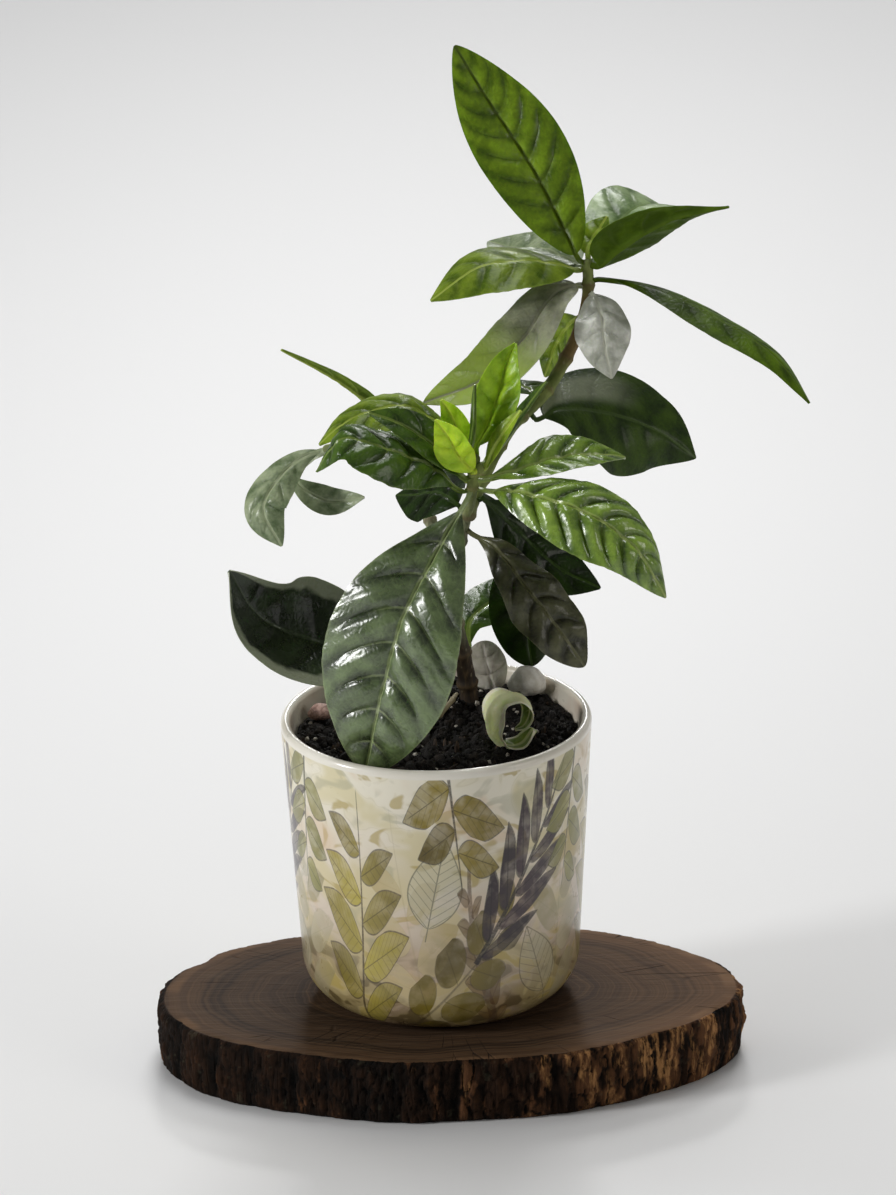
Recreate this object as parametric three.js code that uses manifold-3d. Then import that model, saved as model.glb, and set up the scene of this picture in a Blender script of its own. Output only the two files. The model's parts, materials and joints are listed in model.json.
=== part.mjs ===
// A potted gardenia: a forked woody stem with its leaves, in a round glazed planter full of soil,
// standing on an oval slice of a tree with its bark on.
// Millimetres, +Z up. The origin is on the planter's axis, at the underside of the wood.

import * as THREE from "three";
import { mergeVertices } from "three/addons/utils/BufferGeometryUtils.js";
import Module from "manifold-3d";

const wasm = await Module();
wasm.setup();

// ---- Driving dimensions ----

const GAP = 0.3; // between pieces that rest on or grow out of each other
const AROUND = 48; // facets round the planter and its soil

const SLICE = {
  length: 199, depth: 120, thick: 22.5, centre: [1.3, -4],
  barkDepth: 6, relief: 1.3, chamfer: 1.2, facets: 96,
  notch: { at: 2.8, depth: 1.8, reach: 0.06 }, // where a flake of bark has come away
};
const PLANTER = {
  rimRadius: 52.5, cornerRadius: 47.2, height: 100, wall: 3.4,
  footRadius: 31, cornerRound: 16, floor: 5,
};
const SOIL = { belowRim: 9, tilt: 0.05, mound: 3.5, moundAt: [11, 21], rough: 0.8, rings: 7 };

const BLADE = { thick: 0.7, stalkHalf: 0.9, stalkThick: 1.7, tipHalf: 0.35, keel: 0.7, slant: 0.15 };

const FOOT_Z = SLICE.thick;
const RIM_Z = FOOT_Z + PLANTER.height;

// Centre lines of the stem, root to tip, with the radius at each end.
const STEM = [
  { path: [[12, 22, 100], [11, 21, 123], [9, 17, 139], [6, 8, 161], [8, 0, 178], [11, -6, 194],
      [13, -11, 203], [14, -14, 211], [15, -14, 219]], radii: [3.4, 1.5] },
  { path: [[12, -7, 197], [17, -1, 207], [27, 10, 221], [38, 19, 229], [46, 27, 239], [52, 33, 251],
      [54, 38, 260], [54, 40, 268]], radii: [2.4, 1.8] },
  { path: [[7, 9, 163], [2, 18, 178], [-4, 27, 190], [-12, 33, 201], [-26, 37, 206],
      [-35, 40, 204]], radii: [2.1, 1.5] },
];

// Leaves. path: the midrib from the stem to the tip. face: the way the upper face looks.
// side: used instead of face where the tip curls over, the way the blade's right edge points.
// width: across the blade at its widest point, widest, 0 to 1 along it. base, tip: how full the
// blade is there, fuller below 1. fold: how far each half rises from flat, degrees. curl: how much
// more it turns by the margin. wave: how far the margin swings, mm. veins: pairs of side veins.
// pucker: how far the blade swells between them, mm. stalk: the share of the path with no blade.
const LEAVES = [
  // The upper shoot
  { name: "leaf_top_upright", path: [[51, 38, 270], [46, 43, 280], [36, 50, 299], [21, 57, 322],
      [11, 61, 339]], face: [0.1, -0.9, 0.4], width: 29, base: 0.65, tip: 0.8, stalk: 0.05,
    fold: 12, curl: -10, veins: 7 },
  { name: "leaf_top_back_right", path: [[57, 43, 269], [62, 56, 274], [73, 74, 277], [84, 91, 269]],
    face: [-0.2, -0.5, 0.85], width: 26, widest: 0.55, base: 0.8, stalk: 0.05, fold: 14,
    veins: 5 },
  { name: "leaf_top_right", path: [[58, 39, 268], [67, 34, 277], [82, 29, 287], [101, 23, 293]],
    face: [-0.2, 0.75, 0.7], width: 24, widest: 0.3, base: 0.55, tip: 1.5, stalk: 0.04, fold: 8,
    veins: 5 },
  { name: "leaf_top_young", path: [[54, 41, 271], [56, 45, 275], [61, 51, 281]],
    face: [-0.5, -0.6, 0.6], width: 10, base: 0.7, fold: 16, veins: 3 },
  { name: "leaf_top_left", path: [[49, 38, 267], [35, 33, 272], [18, 28, 272], [1, 23, 262]],
    face: [0, -0.25, 1], width: 27, base: 0.65, stalk: 0.05, fold: -12, veins: 5 },
  { name: "leaf_top_back_left", path: [[50, 43, 267], [40, 56, 268], [30, 68, 265], [21, 78, 264]],
    face: [0, -0.2, 1], width: 26, base: 0.6, stalk: 0.05, fold: 10, veins: 5 },
  { name: "leaf_top_right_long", path: [[58, 38, 264], [76, 32, 262], [97, 22, 254], [116, 13, 243],
      [127, 6, 229]], face: [0.4, -0.1, 0.9], width: 20, fold: -14, veins: 6 },
  { name: "leaf_top_hanging_left", path: [[49, 36, 262], [42, 30, 260], [32, 20, 249],
      [19, 13, 238], [-2, 8, 231]], face: [-0.45, -0.6, 0.65], width: 23, base: 0.6, tip: 0.8,
    stalk: 0.03, fold: 10, veins: 6 },
  { name: "leaf_top_hanging_front", path: [[55, 34, 260], [58, 24, 256], [59, 14, 247],
      [61, 9, 238]], face: [0.1, -0.7, 0.6], width: 18, base: 0.7, fold: -10, wave: 1, veins: 4 },
  { name: "leaf_top_hanging_back", path: [[50, 37, 250], [44, 44, 240], [39, 46, 226]],
    face: [-0.6, -0.6, 0.4], width: 15, fold: 10, veins: 4 },
  { name: "leaf_middle_right", path: [[34, 14, 224], [44, 22, 223], [61, 36, 216], [78, 44, 206],
      [90, 48, 195]], face: [-0.1, -0.7, 0.7], width: 40, base: 0.8, fold: -8, curl: -14,
    veins: 6 },
  { name: "leaf_middle_back", path: [[36, 22, 229], [28, 39, 227], [20, 59, 219]],
    face: [0, 0, 1], width: 25, fold: -10, veins: 5 },

  // The lower shoot, at the front
  { name: "leaf_front_hanging", path: [[12, -18, 206], [1, -32, 192], [-10, -39, 173],
      [-18, -38, 145], [-24, -34, 115]], face: [-0.3, -0.9, 0.3], width: 46, widest: 0.55,
    tip: 0.68, fold: 10, curl: -16, veins: 8, pucker: 1 },
  { name: "leaf_front_right", path: [[17, -14, 208], [29, -26, 211], [51, -36, 207],
      [66, -40, 197], [77, -40, 178]], face: [0.3, -0.7, 0.65], width: 28, fold: -8, curl: -18,
    veins: 7, pucker: 1.2 },
  { name: "leaf_front_right_upper", path: [[18, -14, 212], [30, -15, 215], [43, -12, 218],
      [56, -7, 217], [65, -2, 214]], face: [-0.1, -0.35, 0.93], width: 18, fold: 12, veins: 6,
    pucker: 1 },
  { name: "leaf_front_left", path: [[9, -14, 208], [0, -21, 219], [-14, -29, 228], [-29, -31, 233],
      [-38, -29, 221]], side: [0.05, 0.93, 0.36], width: 25, fold: -10, curl: -10, veins: 6,
    pucker: 1.2 },
  { name: "leaf_front_left_behind", path: [[11, -11, 212], [3, -2, 227], [-9, -3, 234],
      [-27, -7, 231], [-37, -11, 224]], side: [-0.1, 0.97, 0.2], width: 24, base: 0.8, tip: 0.8,
    fold: -10, veins: 6, pucker: 1 },
  { name: "leaf_front_left_inner", path: [[11, -17, 213], [0, -18, 226], [-10, -20, 234],
      [-20, -20, 238]], face: [0.1, -0.6, 0.75], width: 13, fold: 14, veins: 4 },
  { name: "leaf_young_lime", path: [[14, -18, 216], [9, -21, 223], [6, -23, 230], [2, -23, 236]],
    face: [-0.3, -0.85, 0.35], width: 12, base: 0.8, fold: 14, veins: 4 },
  { name: "leaf_young_behind", path: [[13, -12, 217], [10, -12, 225], [7, -12, 234],
      [4, -12, 239]], face: [-0.2, -0.9, 0.3], width: 9, fold: 10, veins: 3 },
  { name: "leaf_young_upright", path: [[15, -13, 223], [19, -11, 229], [23, -10, 240],
      [26, -9, 251], [29, -8, 257]], face: [-0.1, -0.95, 0.2], width: 16, base: 0.8, fold: 32,
    veins: 5 },
  { name: "leaf_young_thin", path: [[13, -15, 219], [14, -17, 228], [15, -17, 246]],
    face: [-1, -0.2, 0], width: 5, fold: 10, veins: 2 },
  { name: "leaf_young_long", path: [[18, -12, 217], [24, -7, 222], [31, -4, 231], [39, -1, 241]],
    face: [-0.6, -0.3, 0.7], width: 6, fold: 20, veins: 3 },
  { name: "leaf_young_short", path: [[18, -16, 216], [23, -18, 227], [30, -18, 237]],
    face: [-0.5, -0.6, 0.6], width: 6, fold: 16, veins: 2 },
  { name: "leaf_front_right_under", path: [[17, -8, 203], [28, -3, 190], [42, -4, 176],
      [56, -6, 169]], face: [0.4, -0.75, 0.5], width: 23, fold: -10, veins: 5 },
  { name: "leaf_front_left_under", path: [[8, -8, 201], [2, 3, 201], [-5, 10, 198],
      [-12, 15, 196]], face: [-0.5, -0.3, 0.8], width: 22, base: 0.7, fold: -8, veins: 4 },

  // Low on the stem
  { name: "leaf_low_right", path: [[13, -7, 190], [21, -14, 187], [32, -21, 174], [42, -24, 161],
      [50, -24, 148]], face: [0.2, -0.85, 0.5], width: 20, widest: 0.62, tip: 0.65, fold: -8,
    wave: 1.5, veins: 6 },
  { name: "leaf_low_back_right", path: [[11, 21, 137], [12, 30, 144], [22, 46, 147], [35, 62, 148]],
    face: [0, -0.7, 0.7], width: 16, fold: -8, veins: 4 },
  { name: "leaf_back_hanging", path: [[16, 3, 200], [28, 14, 187], [33, 24, 167], [32, 28, 149],
      [32, 30, 136], [33, 31, 127]], face: [0.1, -0.95, 0.3], width: 26, widest: 0.62, tip: 0.6,
    stalk: 0.3, fold: -8, veins: 5 },
  { name: "leaf_low_back", path: [[4, 14, 158], [-4, 34, 156], [-11, 56, 143], [-15, 72, 122]],
    face: [0, 0.4, 0.9], width: 26, fold: -10, veins: 5 },
  { name: "leaf_low_left_cupped", path: [[5, 14, 142], [-15, 12, 140], [-37, 8, 146],
      [-58, 2, 158], [-68, -4, 177]], face: [0.2, -0.8, 0.55], width: 40, stalk: 0.2, base: 0.7,
    fold: 8, curl: 40, veins: 5 },

  // The left branch
  { name: "leaf_left_upright", path: [[-14, 35, 205], [-17, 33, 219], [-30, 27, 233],
      [-49, 20, 247]], face: [-0.35, 0.1, 0.93], width: 8, fold: 12, veins: 5 },
  { name: "leaf_left_hanging", path: [[-36, 42, 203], [-44, 42, 200], [-51, 38, 195],
      [-57, 32, 186], [-51, 27, 174]], face: [-0.4, -0.8, 0.4], width: 15, widest: 0.62,
    fold: -12, veins: 5 },
  { name: "leaf_left_inner", path: [[-30, 42, 203], [-40, 50, 197], [-46, 49, 190],
      [-36, 44, 184], [-23, 38, 187]], face: [0, -0.9, 0.4], width: 9, stalk: 0.45, fold: 8,
    veins: 4 },
];

// Dropped leaves on the soil: a fresh one rolled up on itself and a bleached one on end.
const DROPPED_LEAVES = [
  { name: "dropped_leaf_rolled", path: [[32.4, -11, 120.8], [28.5, -11, 115.6], [22.7, -11, 115.3],
      [18.4, -11, 120.1], [18.2, -11, 127.2], [22.1, -11, 132.4], [27.9, -11, 132.7],
      [31.4, -11, 128], [29.4, -11, 122.2], [26.4, -11, 120.8]], side: [-0.42, 0.9, 0], width: 15,
    base: 0.6, tip: 0.6, stalk: 0, fold: 10, wave: 0.6, veins: 6, pucker: 0.3 },
  { name: "dropped_leaf_pale", path: [[20, 33, 118], [18, 33, 126], [16, 34, 136]],
    face: [0.1, -1, 0.2], width: 13, base: 0.45, tip: 0.45, stalk: 0, fold: -14, veins: 3 },
];
// Stones on the soil: the middle and half its size each way.
const STONES = [
  { name: "stone_white", at: [31, 29], half: [6.2, 4.6, 5.2] },
  { name: "stone_pink", at: [-39, 16], half: [4.4, 3.4, 2.8] },
];
const TWIG = { from: [1, 8], to: [7, 27], radius: 1 };

// ---- Shared geometry ----

const vector = (p) => new THREE.Vector3(p[0], p[1], p[2]);
const lerp = (a, b, t) => a + (b - a) * t;
const smooth = (t) => THREE.MathUtils.smoothstep(t, 0, 1);
const radians = THREE.MathUtils.degToRad;

function curveThrough(points) {
  return new THREE.CatmullRomCurve3(points.map(vector), false, "centripetal");
}

// A closed body from points and triangles.
function bodyOf(points, triangles) {
  const geometry = new THREE.BufferGeometry();
  const places = points.flatMap((p) => p.toArray());
  geometry.setAttribute("position", new THREE.Float32BufferAttribute(places, 3));
  geometry.setIndex(triangles.flat());
  return geometry;
}

function toSolid(geometry) {
  const bare = geometry.clone();
  bare.deleteAttribute("normal");
  bare.deleteAttribute("uv");
  const merged = mergeVertices(bare, 1e-4);
  return new wasm.Manifold(new wasm.Mesh({
    numProp: 3,
    vertProperties: new Float32Array(merged.attributes.position.array),
    triVerts: new Uint32Array(merged.index.array),
  }));
}

function toGeometry(solid) {
  const mesh = solid.getMesh();
  const geometry = new THREE.BufferGeometry();
  geometry.setAttribute("position", new THREE.BufferAttribute(mesh.vertProperties, 3));
  geometry.setIndex(new THREE.BufferAttribute(mesh.triVerts, 1));
  return geometry;
}

// The triangles between closed rings of points, with a flat cap on the first and last ring.
function skinOf(rings) {
  const count = rings[0].length;
  const triangles = [];
  for (let row = 0; row + 1 < rings.length; row++) {
    for (let k = 0; k < count; k++) {
      const a = row * count + k;
      const b = row * count + ((k + 1) % count);
      triangles.push([a, b, b + count], [a, b + count, a + count]);
    }
  }
  const last = (rings.length - 1) * count;
  for (let k = 1; k + 1 < count; k++) {
    triangles.push([0, k + 1, k], [last, last + k, last + k + 1]);
  }
  return bodyOf(rings.flat(), triangles);
}

// ---- Stem ----

const STEM_STEP = 4;
const STEM_SIDES = 8;
const NODE_SPACING = 13; // between the swollen rings where leaves have grown

// Centre points and radii every few millimetres along one length of stem.
function stemSamples({ path, radii }, step) {
  const curve = curveThrough(path);
  const length = curve.getLength();
  const count = Math.ceil(length / step);
  return Array.from({ length: count + 1 }, (_, i) => {
    const s = i / count;
    const nearNode = Math.max(0, Math.cos((2 * Math.PI * s * length) / NODE_SPACING));
    const swelling = 1 + 0.16 * nearNode ** 3;
    return { point: curve.getPointAt(s), along: curve.getTangentAt(s),
      radius: lerp(radii[0], radii[1], s) * swelling };
  });
}

// A round closed tube over the samples, domed at both ends.
function stemTube(branch, extra = 0) {
  const samples = stemSamples(branch, STEM_STEP);
  const domed = (end, sign) => [0.95, 0.6].map((reach) => ({
    point: end.point.clone().addScaledVector(end.along, sign * reach * end.radius),
    along: end.along, radius: end.radius * Math.sqrt(1 - reach * reach) }));
  const all = [
    ...domed(samples[0], -1), ...samples, ...domed(samples.at(-1), 1).reverse(),
  ];
  const rings = all.map(({ point, along, radius }) => {
    const right = new THREE.Vector3(1, 0, 0).addScaledVector(along, -along.x).normalize();
    const back = along.clone().cross(right);
    return Array.from({ length: STEM_SIDES }, (_, k) => {
      const turn = (2 * Math.PI * k) / STEM_SIDES;
      return point.clone().addScaledVector(right, Math.cos(turn) * (radius + extra))
        .addScaledVector(back, Math.sin(turn) * (radius + extra));
    });
  });
  return skinOf(rings);
}

function stem() {
  const branches = STEM.map((branch) => toSolid(stemTube(branch)));
  return toGeometry(branches.reduce((all, next) => all.add(next)));
}

// ---- Leaves ----

const SQUARE_ROOT = 1.5; // how far a stalk goes straight out from the bark
const STEM_SAMPLES = STEM.flatMap((branch) => stemSamples(branch, 1));

// The path with its root moved to just clear of the bark, which it leaves squarely.
function seated(path) {
  const root = vector(path[0]);
  const reach = ({ point, radius }) => point.distanceTo(root) - radius;
  const nearest = STEM_SAMPLES.reduce((best, next) => (reach(next) < reach(best) ? next : best));
  const outward = root.clone().sub(nearest.point).normalize();
  const [seat, clear] = [GAP, GAP + SQUARE_ROOT].map((reachOut) =>
    nearest.point.clone().addScaledVector(outward, nearest.radius + reachOut).toArray());
  return [seat, clear, ...path.slice(1)];
}

// Half the blade's width at b, 0 to 1 along it: rounded to its widest point, then to a tip.
function outline(b, widest, base, tip) {
  return b < widest
    ? Math.sin((Math.PI / 2) * (b / widest)) ** base
    : Math.sin((Math.PI / 2) * ((1 - b) / (1 - widest))) ** tip;
}

// One leaf, a thin closed blade on a short stalk, in rows that follow its side veins.
function leafBody(leaf) {
  const { width, widest = 0.5, base = 1, tip = 0.9, stalk = 0.08, fold = 0, curl = 0,
    wave = 0, waves = 3, veins = 5, pucker = 0.6 } = leaf;
  const curve = curveThrough(DROPPED_LEAVES.includes(leaf) ? leaf.path : seated(leaf.path));
  const across = [-1, -0.5, 0, 0.5, 1];
  const stalkHalf = Math.min(BLADE.stalkHalf, 0.35 + width / 25);
  const stalkThick = Math.min(BLADE.stalkThick, 2 * stalkHalf);

  // Directions at s: along the midrib, to the blade's right, and up from its upper face.
  function directions(s) {
    const along = curve.getTangentAt(s);
    const given = vector(leaf.side ?? leaf.face);
    const square = given.addScaledVector(along, -given.dot(along)).normalize();
    return leaf.side
      ? { right: square, up: square.clone().cross(along) }
      : { right: along.clone().cross(square), up: square };
  }

  // The two points of the blade at u across, on the row that leaves the midrib at s.
  function pointPair(s, u) {
    const rowB = Math.max(0, (s - stalk) / (1 - stalk));
    const station = s + BLADE.slant * Math.abs(u) * Math.sin(Math.PI * rowB) * (1 - stalk);
    const b = Math.max(0, (station - stalk) / (1 - stalk));
    const { right, up } = directions(station);
    const half = (width / 2) * outline(b, widest, base, tip) + lerp(stalkHalf, BLADE.tipHalf, b);
    const lift = radians(fold + (curl * Math.abs(u)) / 2);
    const lean = Math.sign(u) * radians(fold + curl * Math.abs(u));
    const swell = pucker * Math.sin(Math.PI * veins * rowB) ** 2
      * Math.sin(Math.PI * Math.abs(u) ** 0.8) * Math.min(1, half / 8);
    const swing = wave * u * u * Math.sin(2 * Math.PI * waves * b + u) * Math.sin(Math.PI * b);
    const top = curve.getPointAt(station)
      .addScaledVector(right, u * half * Math.cos(lift))
      .addScaledVector(up, Math.abs(u) * half * Math.sin(lift) + swell + swing);
    const stalkness = 1 - smooth(b / 0.15);
    const thick = BLADE.thick + (stalkThick - BLADE.thick) * stalkness * (1 - u * u)
      + (u === 0 ? BLADE.keel * (1 - b) * (1 - stalkness) : 0);
    const downward = up.clone().multiplyScalar(-Math.cos(lean))
      .addScaledVector(right, Math.sin(lean));
    return [top, top.clone().addScaledVector(downward, thick)];
  }

  const stations = [0, stalk / 2];
  for (let row = 0; row <= 2 * veins; row++) {
    stations.push(lerp(stalk, 1, row / (2 * veins)));
  }
  const rings = stations.map((s) => {
    const pairs = across.map((u) => pointPair(s, u));
    return [...pairs.map((pair) => pair[0]), ...pairs.map((pair) => pair[1]).reverse()];
  });
  return skinOf(rings);
}

// ---- Planter, soil and wood ----

// The planter's outer wall, foot to rim: a flat foot, a round corner and a slightly flared side.
function planterOuter() {
  const { footRadius, cornerRadius, cornerRound, rimRadius, height } = PLANTER;
  const points = [[footRadius, 0]];
  for (let step = 1; step <= 6; step++) {
    const turn = (Math.PI / 2) * (step / 6);
    points.push([lerp(footRadius, cornerRadius, Math.sin(turn)), cornerRound * (1 - Math.cos(turn))]);
  }
  points.push([rimRadius, height - 2]);
  return points;
}

// The inner wall at height z over the foot.
function planterInnerRadius(z) {
  const { cornerRadius, cornerRound, rimRadius, height, wall } = PLANTER;
  const flare = (rimRadius - cornerRadius) * Math.max(0, (z - cornerRound) / (height - cornerRound));
  return cornerRadius + flare - wall;
}

// The planter's inner corner: share of the inner radius and height over the floor.
const INNER_CORNER = [[0.75, 0], [0.93, 5], [1, 14]];

function planter() {
  const { rimRadius, height, wall, floor } = PLANTER;
  const lip = [[-0.4, -0.6], [-1.1, -0.1], [-wall + 1.1, -0.1], [-wall + 0.4, -0.6]]
    .map(([out, up]) => [rimRadius + out, height + up]);
  const inside = INNER_CORNER.map(([share, rise]) => [share * planterInnerRadius(0), floor + rise]);
  const profile = [
    [0, 0], ...planterOuter(), ...lip, [planterInnerRadius(height - 2), height - 2],
    ...inside.reverse(), [0, floor],
  ];
  return new THREE.LatheGeometry(profile.map(([r, z]) => new THREE.Vector2(r, z)), AROUND)
    .rotateX(Math.PI / 2).translate(0, 0, FOOT_Z);
}

function soilHeight(x, y) {
  const { belowRim, tilt, mound, moundAt, rough } = SOIL;
  const rise = tilt * y + mound * Math.exp(-((x - moundAt[0]) ** 2 + (y - moundAt[1]) ** 2) / 500);
  const lumps = Math.sin(x * 0.61 + y * 0.23) * Math.cos(y * 0.53 - x * 0.17)
    + 0.6 * Math.sin(x * 0.29 - y * 0.71);
  return RIM_Z - belowRim + rise + rough * lumps;
}

// Soil to near the rim, 0.3 mm inside the planter, with a plain hole for the stem.
function soil() {
  const edge = planterInnerRadius(PLANTER.height - SOIL.belowRim) - GAP;
  const ringAt = (radius, height) => Array.from({ length: AROUND }, (_, k) => {
    const turn = (2 * Math.PI * k) / AROUND + Math.PI / 2;
    const x = radius * Math.cos(turn);
    const y = radius * Math.sin(turn);
    return new THREE.Vector3(x, y, height ?? soilHeight(x, y));
  });
  const wall = INNER_CORNER.map(([share, rise]) =>
    ringAt(share * planterInnerRadius(0) - GAP, FOOT_Z + PLANTER.floor + rise + GAP));
  const top = Array.from({ length: SOIL.rings }, (_, i) => ringAt(edge * (1 - i / SOIL.rings)));
  return toGeometry(toSolid(skinOf([...wall, ...top])).subtract(toSolid(stemTube(STEM[0], GAP))));
}

// Lowers or lifts a piece until it lies just clear of the soil under it.
function settled(geometry, soilMesh) {
  const down = new THREE.Vector3(0, 0, -1);
  const places = geometry.attributes.position;
  const gaps = Array.from({ length: places.count }, (_, i) => {
    const place = new THREE.Vector3().fromBufferAttribute(places, i);
    const above = new THREE.Vector3(place.x, place.y, 2 * RIM_Z);
    const [hit] = new THREE.Raycaster(above, down).intersectObject(soilMesh);
    return hit ? place.z - hit.point.z : Infinity;
  });
  return geometry.translate(0, 0, GAP - Math.min(...gaps));
}

// A waterworn stone: a ball drawn out of round.
function stone({ at, half }) {
  const ball = new THREE.SphereGeometry(1, 12, 8).rotateX(Math.PI / 2);
  const places = ball.attributes.position;
  for (let i = 0; i < places.count; i++) {
    const [x, y, z] = [places.getX(i), places.getY(i), places.getZ(i)];
    const swell = 1 + 0.08 * Math.sin(3 * x + 2 * z) + 0.06 * Math.cos(4 * y - x);
    places.setXYZ(i,
      at[0] + half[0] * swell * x, at[1] + half[1] * swell * y, RIM_Z + half[2] * swell * z);
  }
  return toGeometry(toSolid(ball));
}

function twig({ from, to, radius }) {
  const middle = [(from[0] + to[0]) / 2 + 1, (from[1] + to[1]) / 2, RIM_Z + 1];
  return stemTube({ path: [[...from, RIM_Z], middle, [...to, RIM_Z]], radii: [radius, radius * 0.7] });
}

// How far the bark stands out at a place round the wood and up its side: wide plates between
// narrow fissures, at uneven distances.
function barkRelief(turn, rise) {
  const uneven = 1.6 * Math.sin(3 * turn + 1) + 0.8 * Math.sin(7 * turn) + 0.15 * rise * Math.sin(5 * turn);
  const plates = Math.abs(Math.sin(11 * turn + uneven)) ** 0.45;
  const flakes = Math.sin(29 * turn + 2.1 * rise) * Math.sin(8 * turn - 1.7 * rise);
  return SLICE.relief * (plates - 0.75 + 0.3 * flakes);
}

function sliceRadius(turn) {
  const a = SLICE.length / 2;
  const b = SLICE.depth / 2;
  const ellipse = (a * b) / Math.hypot(b * Math.cos(turn), a * Math.sin(turn));
  const notch = SLICE.notch.depth * Math.exp(-(((turn - SLICE.notch.at) / SLICE.notch.reach) ** 2));
  return ellipse * (1 + 0.012 * Math.sin(3 * turn + 0.6) + 0.01 * Math.sin(7 * turn + 2)) - notch;
}

function woodSlice() {
  const { thick, centre, barkDepth, chamfer, facets } = SLICE;
  const ringAt = (inset, height, relief) => Array.from({ length: facets }, (_, k) => {
    const turn = (2 * Math.PI * k) / facets;
    const radius = sliceRadius(turn) - inset + relief * barkRelief(turn, height / 6);
    return new THREE.Vector3(
      centre[0] + radius * Math.cos(turn), centre[1] + radius * Math.sin(turn), height);
  });
  return skinOf([
    ringAt(chamfer + 1, 0, 0.6), ringAt(1, chamfer, 1), ringAt(0, thick * 0.35, 1),
    ringAt(0, thick * 0.62, 1), ringAt(0.4, thick - chamfer * 1.2, 1),
    ringAt(chamfer, thick - 0.7, 0.7),
    ringAt(barkDepth, thick, 0.2),
  ]);
}

// ---- The plant in its planter ----

const LEAF_GREEN = 0x2f5a1e;
const YOUNG_GREEN = 0x9dc52c;

function material(color, roughness) {
  return new THREE.MeshStandardMaterial({ color, roughness, metalness: 0, flatShading: true });
}

const model = new THREE.Group();

function addPiece(name, geometry, surface) {
  const mesh = new THREE.Mesh(geometry, surface);
  mesh.name = name;
  model.add(mesh);
  return mesh;
}

addPiece("wood_slice", woodSlice(), material(0x3a2418, 0.75));
addPiece("planter", planter(), material(0xe8e2d6, 0.2));
const soilMesh = addPiece("soil", soil(), material(0x1d1712, 0.95));
addPiece("stem", stem(), material(0x6b5a3a, 0.8));
for (const leaf of LEAVES) {
  const young = leaf.name.startsWith("leaf_young");
  addPiece(leaf.name, leafBody(leaf), material(young ? YOUNG_GREEN : LEAF_GREEN, 0.4));
}
for (const leaf of DROPPED_LEAVES) {
  addPiece(leaf.name, settled(leafBody(leaf), soilMesh), material(0xb9b46a, 0.6));
}
for (const pebble of STONES) {
  addPiece(pebble.name, settled(stone(pebble), soilMesh), material(0xc9bfb2, 0.6));
}
addPiece("twig", settled(twig(TWIG), soilMesh), material(0x6a5a44, 0.9));

export default model;
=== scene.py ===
"""A potted gardenia on a slice of wood, finished for a close look.

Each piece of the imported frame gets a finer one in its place: leaves with their veins, a stem with its
leaf scars, soil with its crumbs, a glazed planter with a printed pattern, and wood with its bark.
The frame is in metres, +Z up, with its origin on the planter's axis at the underside of the wood.
Sizes of pieces are in millimetres here, and the last step of each piece turns them into metres. The
floor, the lights and the camera are placed in metres.
"""

import json
import math

import bpy
import numpy as np
from mathutils import Matrix, Vector, noise


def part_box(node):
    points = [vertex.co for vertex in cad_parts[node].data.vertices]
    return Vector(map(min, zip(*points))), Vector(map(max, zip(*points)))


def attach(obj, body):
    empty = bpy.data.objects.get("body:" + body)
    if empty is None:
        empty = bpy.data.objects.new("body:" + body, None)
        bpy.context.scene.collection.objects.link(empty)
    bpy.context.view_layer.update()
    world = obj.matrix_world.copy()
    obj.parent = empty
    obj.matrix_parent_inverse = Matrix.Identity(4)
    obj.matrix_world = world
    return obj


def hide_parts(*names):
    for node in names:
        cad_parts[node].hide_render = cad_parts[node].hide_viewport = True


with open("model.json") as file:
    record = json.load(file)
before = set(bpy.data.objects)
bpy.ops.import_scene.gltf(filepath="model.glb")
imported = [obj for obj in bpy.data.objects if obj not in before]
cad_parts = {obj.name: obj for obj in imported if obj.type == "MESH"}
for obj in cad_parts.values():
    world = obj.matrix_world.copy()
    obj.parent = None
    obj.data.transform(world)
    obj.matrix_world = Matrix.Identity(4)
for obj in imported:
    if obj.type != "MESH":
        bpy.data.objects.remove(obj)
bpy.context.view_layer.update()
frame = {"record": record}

MM = 0.001

# ---- Sizes ----


def lowest(node):
    """The height of the lowest point of a piece of the frame, in millimetres."""
    low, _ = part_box(node)
    return low[2] / MM


GAP = 0.3  # between pieces that rest on or grow out of each other

FOOT_Z = lowest("planter")
PLANTER_HEIGHT = 100
RIM_RADIUS = 52.5
CORNER_RADIUS = 47.2  # where the side meets the rounded foot
CORNER_ROUND = 16
FOOT_RADIUS = 31
WALL = 3.4
FLOOR = 5
RIM_Z = FOOT_Z + PLANTER_HEIGHT

SOIL_BELOW_RIM = 9
SOIL_TILT = 0.05
SOIL_MOUND = 3.5
MOUND_AT = (11, 21)
MOUND_SPREAD = 500  # twice the square of how wide the mound is

SLICE_LENGTH = 199
SLICE_DEPTH = 120
SLICE_CENTRE = (1.3, -4)
BARK_DEPTH = 6
BARK_RELIEF = 1.3
NOTCH_AT = 2.8  # where a flake of bark has come away, round from the right
NOTCH_DEPTH = 1.8
NOTCH_REACH = 0.06

# Centre lines of the stem, root to tip, with the radius at each end.
STEM = [
    dict(path=[(12, 22, 100), (11, 21, 123), (9, 17, 139), (6, 8, 161), (8, 0, 178), (11, -6, 194),
         (13, -11, 203), (14, -14, 211), (15, -14, 219)], radii=(3.4, 1.5)),
    dict(path=[(12, -7, 197), (17, -1, 207), (27, 10, 221), (38, 19, 229), (46, 27, 239),
         (52, 33, 251), (54, 38, 260), (54, 40, 268)], radii=(2.4, 1.8)),
    dict(path=[(7, 9, 163), (2, 18, 178), (-4, 27, 190), (-12, 33, 201), (-26, 37, 206),
         (-35, 40, 204)], radii=(2.1, 1.5)),
]

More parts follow.
